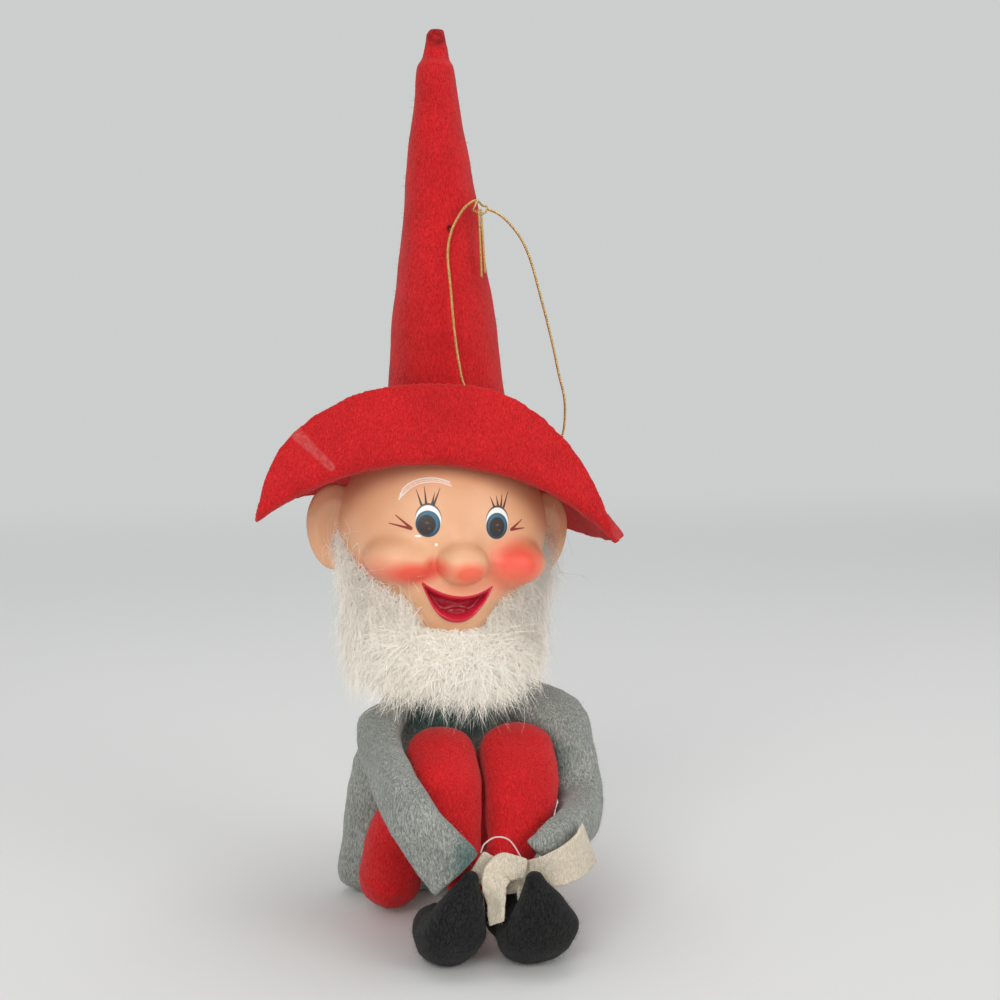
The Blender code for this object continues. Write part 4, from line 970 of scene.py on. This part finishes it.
def pelt_roots(count):
    """Points all over the pelt's outer side, with the way out of it there."""
    corners = triangles(pelt.data)
    points, normals = places(pelt)
    centre = points[corners].mean(axis=1) - np.array(HEAD_CENTRE)
    out = normals[corners[:, 0]]
    flat_out = centre * [1, 1, 0]
    flat_out /= np.linalg.norm(flat_out, axis=1, keepdims=True)
    outer_side = (out * flat_out).sum(axis=1) > 0.05
    root, chosen = scattered(points, corners, outer_side, random, count)
    return root, out[chosen] * 0.4 + flat_out[chosen] * 0.6


def jaw_roots(count, span, above, below):
    """Points on the skin near the strip's upper edge, with the way out of the face there."""
    angle = np.radians(span) * (2 * random.random(count) - 1)
    away = np.abs(angle) / JAW_SPAN
    higher = above + 6 * np.exp(-(((away - 0.5) / 0.25) ** 2))
    height = hair_line(angle) + (higher + (below - higher) * random.random(count) ** 0.5) * MM
    reach = np.maximum(reach_at(angle, height), 6 * MM) - 0.3 * MM
    outward = np.stack([np.sin(angle), -np.cos(angle), 0 * angle], axis=1)
    local = outward * reach[:, None] + np.array([0, 0, 1]) * height[:, None]
    return carried(local, out_of_head), outward @ out_of_head[:3, :3].T


hairs("beard_underfur", *comb(*pelt_roots(5600), (9, 17), 0.9, 0.4, 0.09))
hairs("beard_locks", *comb(*pelt_roots(5600), (14, 28), 0.8, 0.45, 0.075))
hairs("beard_edge", *comb(*jaw_roots(5600, 92, 1.5, -5), (5, 17), 0.7, 0.5, 0.06))
hairs("beard_wisps", *comb(*pelt_roots(2400), (10, 30), 1.15, 0.8, 0.05))

# The jacket body, a stuffed tube of felt. It was dyed teal and has faded to grey wherever light reached it.
# A darker teal is painted in the folds and under the beard as painted shade, and by the hands as a dye stain.
grey_felt = felt(
    "grey_felt", (0.17, 0.185, 0.17), (0.45, 0.46, 0.42), 2300, 0.85, 0.00016, 0.25, (1, 1, 0.97)
)


def lay_teal_and_shade(finish, teal_places):
    """Lays a darker teal, painted shade and old dye, over a felt inside soft balls of (centre in mm, radius
    in mm, strength).
    """
    tree = finish.node_tree
    shader = tree.nodes["Principled BSDF"]
    colour = faded = shader.inputs["Base Color"].links[0].from_socket
    where = wire(tree, "TexCoord", {}, out="Object")
    ragged = wire(tree, "TexNoise", {"Vector": where, "Scale": 160, "Detail": 3})
    teal = {"Fac": 1, "Color1": faded, "Color2": (0.2, 0.42, 0.42, 1)}
    dark_teal = wire(tree, "MixRGB", teal, blend_type="MULTIPLY")
    for centre, radius, strength in teal_places:
        distance = wire(
            tree, "VectorMath", {0: where, 1: Vector(centre) * MM}, out="Value", operation="DISTANCE"
        )
        edge = {0: ragged, 1: radius * MM * 0.9, 2: distance}
        rough_edge = wire(tree, "Math", edge, operation="MULTIPLY_ADD")
        limits = {"From Min": radius * MM * 1.75, "From Max": radius * MM * 0.95, "To Max": strength}
        kept = wire(tree, "MapRange", {"Value": rough_edge, **limits}, interpolation_type="SMOOTHSTEP")
        colour = wire(tree, "MixRGB", {"Fac": kept, "Color1": colour, "Color2": dark_teal})
    feed(tree, shader, {"Base Color": colour})


# The balls under the beard and beside the left leg are painted shade; the one by the hands is a dye stain.
lay_teal_and_shade(grey_felt, [((3, -5, 66), 19, 0.95), ((-4, -50, 31), 8, 0.8), ((26, -10, 46), 13, 0.85)])
jacket = stuffed("jacket", "jacket_body", 1.7 * MM, 0.8 * MM, (24 * MM, 1.0 * MM), (8 * MM, 0.4 * MM))
points, normals = places(jacket)
hip = np.clip(normals[:, 0], 0, 1) ** 0.7 * eased_step((84 * MM - points[:, 2]) / (20 * MM))
arm = BVHTree.FromObject(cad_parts["sleeve_left"], bpy.context.evaluated_depsgraph_get())
clear = np.array([arm.find_nearest(Vector(point))[3] for point in points])
points[:, 0] += np.minimum(6 * MM * hip, np.maximum(clear - 1.4 * MM, 0) * 0.85)
set_places(jacket, points)
jacket.data.materials.append(grey_felt)
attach(jacket, "root")
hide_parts("jacket_body")
fuzz("jacket_fuzz", jacket, 5000, 1.1, "grey_felt")

# Sleeves and trouser legs: flat tubes of felt lightly filled, sewn to the body at shoulder and
# hip, drawn round in front and stitched together at the wrists, so that the elf hugs its knees.
for name, node, voxel, finish, slot in (
    ("sleeve_cloth_right", "sleeve_right", 1.2, grey_felt, "grey_felt"),
    ("sleeve_cloth_left", "sleeve_left", 1.2, grey_felt, "grey_felt"),
    ("trouser_right", "leg_right", 1.3, red_felt, "red_felt"),
    ("trouser_left", "leg_left", 1.3, red_felt, "red_felt"),
):
    limb = stuffed(name, node, voxel * MM, 0.5 * MM, (16 * MM, 0.6 * MM), (6 * MM, 0.35 * MM))
    if node == "sleeve_left":
        points, normals = places(limb)
        toward_knee = np.clip(-normals[:, 0], 0, 1) ** 0.6
        broad = np.exp(-(((points[:, 2] - 45 * MM) / (16 * MM)) ** 2)) * toward_knee
        knee = BVHTree.FromObject(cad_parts["leg_left"], bpy.context.evaluated_depsgraph_get())
        clear = [knee.find_nearest(Vector(point))[3] for point in points]
        points[:, 0] -= np.minimum(6.5 * MM * broad, np.maximum(np.array(clear) - 1.3 * MM, 0) * 0.85)
        set_places(limb, points)
        finish_modifier(limb, "SMOOTH", iterations=6, factor=0.5)
    limb.data.materials.append(finish)
    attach(limb, "root")
    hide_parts(node)
    fuzz(name + "_fuzz", limb, 3000, 1.1, slot)

# The boots: black felt bags stuffed round, with the toes curled up and over.
black_felt = felt(
    "black_felt", (0.006, 0.006, 0.006), (0.026, 0.026, 0.026), 2600, 0.9, 0.00018, 0.1, (0.85, 0.85, 0.85)
)
for name, node in (("felt_boot_right", "boot_right"), ("felt_boot_left", "boot_left")):
    boot = stuffed(name, node, 1.0 * MM, 0.5 * MM, (11 * MM, 0.6 * MM), (5 * MM, 0.3 * MM))
    boot.data.materials.append(black_felt)
    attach(boot, "root")
    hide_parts(node)
    fuzz(name + "_fuzz", boot, 3000, 1.2, "black_felt")

# The hands: mittens cut with scissors from thin cream felt, with raw fuzzy edges.
white_felt = felt(
    "white_felt", (0.52, 0.44, 0.33), (0.84, 0.77, 0.63), 2600, 0.6, 0.00012, 0.25, (1, 0.97, 0.9)
)


def cut_felt(name, keys, slant):
    """A strip of felt 1 mm thick along keys of (centre, way it faces, half width), with ragged edges.

    slant is how far the last edge is cut back on its lower side.
    """
    rows, columns = 56, 9
    centre = smooth_route([Vector(k[0]) * MM for k in keys], rows)
    spans = np.cumsum([0, *[(Vector(b[0]) - Vector(a[0])).length for a, b in zip(keys, keys[1:])]])
    even = np.linspace(0, spans[-1], rows)
    ways = np.array([k[1] for k in keys])
    facing = [Vector([np.interp(t, spans, ways[:, n]) for n in range(3)]).normalized() for t in even]
    half = [np.interp(t, spans, [k[2] for k in keys]) * MM for t in even]
    bm = bmesh.new()
    sheets = []
    for face in (-0.5, 0.5):
        grid = []
        for i, (place, out, wide) in enumerate(zip(centre, facing, half)):
            along = (centre[min(i + 1, rows - 1)] - centre[max(i - 1, 0)]).normalized()
            across = along.cross(out).normalized()
            ragged = [noise.noise(place * 900 + Vector((edge, 0, 0))) * 0.32 * MM for edge in (0, 9)]
            line = []
            for j in range(columns):
                share = 2 * j / (columns - 1) - 1
                reach = wide + (ragged[1] if share > 0 else ragged[0]) * abs(share)
                torn = noise.noise(Vector((j * 0.8, 3.3, 7.7))) * 0.4 * MM
                end = max(0, i - rows * 0.7) / (rows * 0.3) * (torn - slant * MM * (1 - share) / 2)
                wave = noise.noise(Vector((i * 0.13, j * 0.3, 1.7))) * 0.35 * MM
                corner = place + across * (reach * share) + along * end + out * (wave + face * MM)
                line.append(bm.verts.new(corner))
            grid.append(line)
        sheets.append(grid)
    back, front = sheets
    for i in range(rows - 1):
        for j in range(columns - 1):
            bm.faces.new((front[i][j], front[i][j + 1], front[i + 1][j + 1], front[i + 1][j]))
            bm.faces.new((back[i][j], back[i + 1][j], back[i + 1][j + 1], back[i][j + 1]))
        for j in (0, columns - 1):
            bm.faces.new((front[i][j], front[i + 1][j], back[i + 1][j], back[i][j]))
    for i in (0, rows - 1):
        for j in range(columns - 1):
            bm.faces.new((front[i][j], front[i][j + 1], back[i][j + 1], back[i][j]))
    bmesh.ops.recalc_face_normals(bm, faces=bm.faces)
    mesh = bpy.data.meshes.new(name)
    bm.to_mesh(mesh)
    bm.free()
    mesh.materials.append(white_felt)
    strip = bpy.data.objects.new(name, mesh)
    scene.collection.objects.link(strip)
    finish_modifier(strip, "SUBSURF", levels=1, render_levels=1)
    strip.data.shade_smooth()
    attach(strip, "root")
    return strip


hand_right = cut_felt(
    "felt_hand_right",
    [
        ((-2.7, -48.7, 30.4), (-0.3, -1, 0), 4.2),
        ((4.6, -49.7, 25.9), (0, -1, 0.1), 4.6),
        ((11, -49.7, 25.6), (0.1, -1, 0.1), 4.5),
        ((18, -52.6, 27.4), (0.2, -1, 0), 5.2),
        ((26.5, -51.6, 30), (0.5, -1, 0), 6.6),
        ((34.4, -43.4, 33), (0.7, -1, 0), 8),
    ],
    6,
)
hand_left = cut_felt(
    "felt_hand_left",
    [
        ((11.2, -52.3, 28.6), (0.15, -1, 0.2), 2.6),
        ((7.4, -52.6, 29.4), (0.1, -1, 0.2), 3.6),
        ((3.6, -53.2, 29.6), (-0.2, -1, 0.2), 4.2),
        ((1.2, -54.3, 26), (-0.5, -1, 0.1), 3.7),
        ((1.6, -54.6, 19.8), (-0.9, -0.8, 0), 3),
        ((1.5, -55.8, 14), (-1, -0.6, 0), 2.7),
    ],
    2,
)
thumb = cut_felt(
    "felt_thumb_left",
    [
        ((12, -50.9, 22.6), (0.2, -1, -0.1), 3.6),
        ((11, -51.3, 20.4), (0.2, -1, -0.1), 2.8),
        ((10, -51.8, 17.8), (0.2, -1, -0.1), 1.2),
    ],
    0.5,
)
for hand, node, flat, area, others in (
    (hand_right, "hand_right", (0.0165, 0.042), 0.00046, []),
    (hand_left, "hand_left", (0.0105, 0.029), 0.00021, [thumb]),
):
    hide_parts(node)
    fuzz(node + "_fuzz", hand, 700, 0.9, "white_felt")

# The stitch: a loose end of pink sewing thread that ties hand to hand.
thread_finish, thread_tree, shader = new_finish("sewing_thread")
where = wire(thread_tree, "TexCoord", {}, out="Object")
twist = wire(thread_tree, "TexNoise", {"Vector": where, "Scale": 3000})
shade = colour_ramp(thread_tree, twist, (0.0, (0.5, 0.33, 0.31)), (1.0, (0.86, 0.72, 0.7)))
feed(thread_tree, shader, {"Base Color": shade, "Roughness": 0.6})
thread_route = smooth_route(
    [
        Vector(p) * MM
        for p in ((-1.2, -49, 33.4), (-0.2, -49.6, 36), (3, -50.2, 37.8), (7, -50.6, 36.4), (11, -50.2, 30))
    ],
    24,
)
stitch = twisted_cord("hand_stitch", thread_route, 3, 0.8 * MM, 0.12 * MM, thread_finish)
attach(stitch, "root")
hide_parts("hand_thread")
